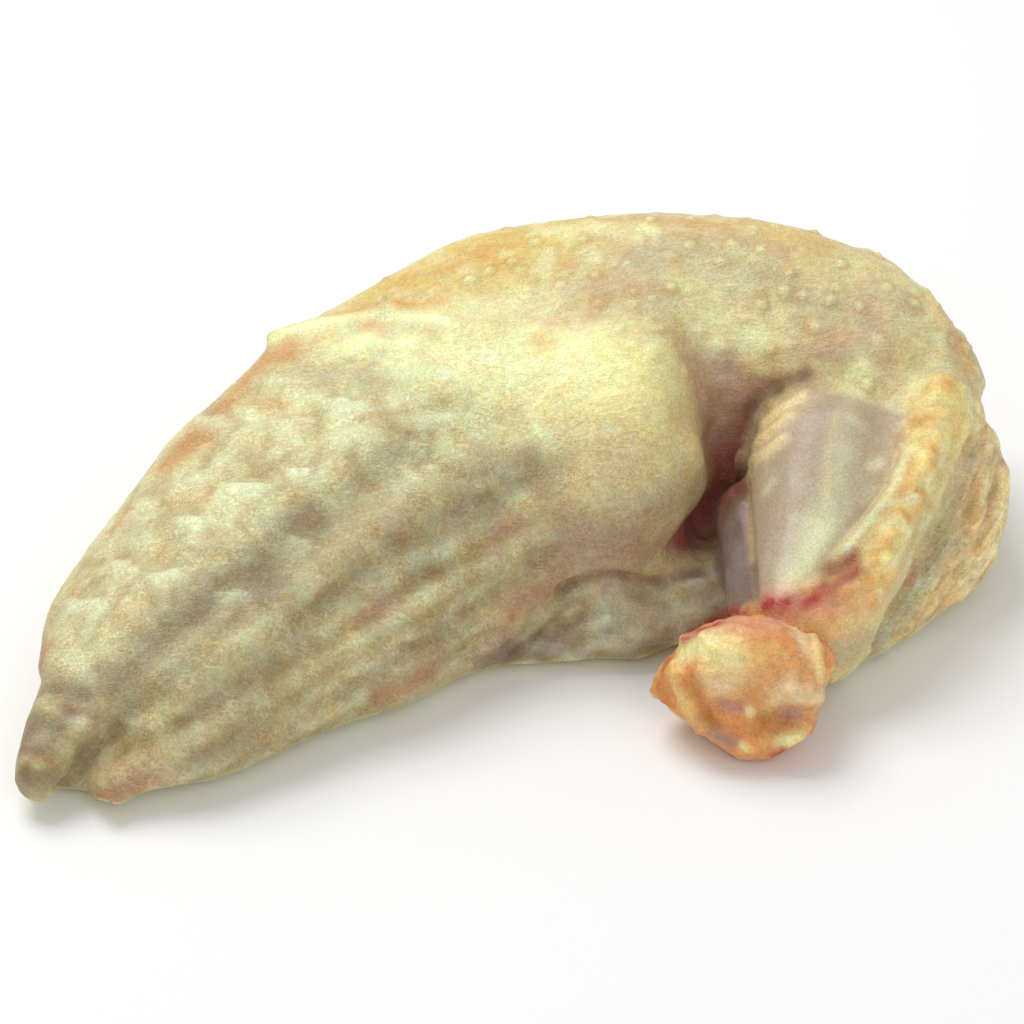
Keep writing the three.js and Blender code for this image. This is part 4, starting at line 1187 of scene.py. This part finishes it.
def shaded(tree, field, colour):
    """A colour made lighter and darker by fibres, creases, speckles and pleats."""
    patchy = ranged(tree, field["cloud"], 0.3, 1.0, 0.4, 0.6)
    patchy = times(tree, maths(tree, "ADD", field["fibre"], 0.25), patchy)
    woven = times(tree, maths(tree, "SUBTRACT", field["threads"], 0.35), times(tree, patchy, 0.36))
    shade = maths(tree, "ADD", woven, ranged(tree, field["fine"], 0.85, 1.15))
    shade = maths(tree, "MULTIPLY_ADD", field["creases"], 0.2, shade)
    shade = maths(tree, "MULTIPLY_ADD", field["wrinkled"], -0.05, shade)
    for value, strength in (("speckle", "mottled"), ("pleats", "pleated")):
        uneven = maths(tree, "SUBTRACT", field[value], 0.5)
        shade = maths(tree, "ADD", shade, times(tree, uneven, field[strength]))
    channels = [maths(tree, "MULTIPLY_ADD", shade, gain, 1 - gain) for gain in SHADE_GAINS]
    shades = add(tree, "CombineColor", dict(enumerate(channels))).outputs[0]
    return mixed(tree, "MULTIPLY", 1.0, colour, shades)


def relief_of(tree, field):
    """Height of fibres, pores and creases, lower where the tissue is wet."""
    woolly = maths(tree, "ADD", times(tree, field["threads"], 0.3), field["speckle"])
    plain = maths(tree, "ADD", times(tree, field["speckle"], 0.7), times(tree, field["fine"], 0.4))
    calm = maths(tree, "SUBTRACT", 1.0, times(tree, field["wet"], 0.6))
    relief = add(tree, "Mix", {"Factor": field["fibre"], 2: plain, 3: woolly}).outputs[0]
    return times(tree, maths(tree, "MULTIPLY_ADD", field["creases"], 0.5, relief), calm)


def tissue_material(name, roughness, coat):
    """Moist tissue: the mesh's own colours with fine fibres or pores, light bleeding and a wet gloss."""
    material = bpy.data.materials.new(name)
    material.use_nodes = True
    tree = material.node_tree
    shader = tree.nodes["Principled BSDF"]
    field = fields_of(tree)
    tree.links.new(shaded(tree, field, hued(tree, field)), shader.inputs["Base Color"])
    rough = ranged(tree, field["cloud"], roughness - 0.07, roughness + 0.1)
    rough = maths(tree, "SUBTRACT", rough, times(tree, field["wet"], 0.12))
    tree.links.new(rough, shader.inputs["Roughness"])
    bump = add(tree, "Bump", {"Height": relief_of(tree, field), "Strength": 0.6, "Distance": 0.0005})
    tree.links.new(bump.outputs[0], shader.inputs["Normal"])
    for socket, value in TISSUE_FINISH.items():
        shader.inputs[socket].default_value = value
    shader.inputs["Coat Weight"].default_value = coat
    return material


def dress(surface, material, node):
    surface.piece.data.materials.clear()
    surface.piece.data.materials.append(material)
    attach(surface.piece, "root")
    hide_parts(node)


# Studio, in metres and watts

def add_floor():
    mesh = bpy.data.meshes.new("floor")
    corners = [(x * FLOOR_HALF, y * FLOOR_HALF, 0) for x, y in ((-1, -1), (1, -1), (1, 1), (-1, 1))]
    mesh.from_pydata(corners, [], [(0, 1, 2, 3)])
    floor = bpy.data.objects.new("floor", mesh)
    bpy.context.scene.collection.objects.link(floor)
    material = bpy.data.materials.new("floor_white")
    material.use_nodes = True
    shader = material.node_tree.nodes["Principled BSDF"]
    shader.inputs["Base Color"].default_value = FLOOR_WHITE
    shader.inputs["Roughness"].default_value = FLOOR_ROUGHNESS
    mesh.materials.append(material)


def add_light(name, place, size, power):
    """A round soft light that shines at the middle of the floor."""
    data = bpy.data.lights.new(name, "AREA")
    data.shape = "DISK"
    data.size = size
    data.energy = power
    light = bpy.data.objects.new(name, data)
    light.location = place
    light.rotation_euler = (-Vector(place)).to_track_quat("-Z", "Y").to_euler()
    bpy.context.scene.collection.objects.link(light)


def add_studio():
    world = bpy.data.worlds.new("studio")
    world.use_nodes = True
    background = world.node_tree.nodes["Background"]
    background.inputs["Color"].default_value = (1, 1, 1, 1)
    background.inputs["Strength"].default_value = SKY_STRENGTH
    bpy.context.scene.world = world
    for name, (place, size, power) in LIGHTS.items():
        add_light(name, place, size, power)
    bpy.context.scene.view_settings.view_transform = "Standard"


def add_camera():
    data = bpy.data.cameras.new("photo_camera")
    data.sensor_width = SENSOR
    data.lens = FOCAL * SENSOR / PHOTO
    data.clip_start = 0.01
    data.clip_end = 20
    camera = bpy.data.objects.new("photo_camera", data)
    camera.location = EYE * MM
    camera.rotation_euler = Vector(FORWARD).to_track_quat("-Z", "Y").to_euler()
    bpy.context.scene.collection.objects.link(camera)
    bpy.context.scene.camera = camera


meat = shape_meat()
tissues = find_regions(meat)
texture_meat(meat, tissues)
colour_meat(meat, tissues)
dress(meat, tissue_material("flesh_and_skin", FLESH_ROUGHNESS, FLESH_COAT), "breast")
bone = shape_bone()
colour_bone(bone)
dress(bone, tissue_material("gristle", GRISTLE_ROUGHNESS, GRISTLE_COAT), "wing_bone")
add_floor()
add_studio()
add_camera()
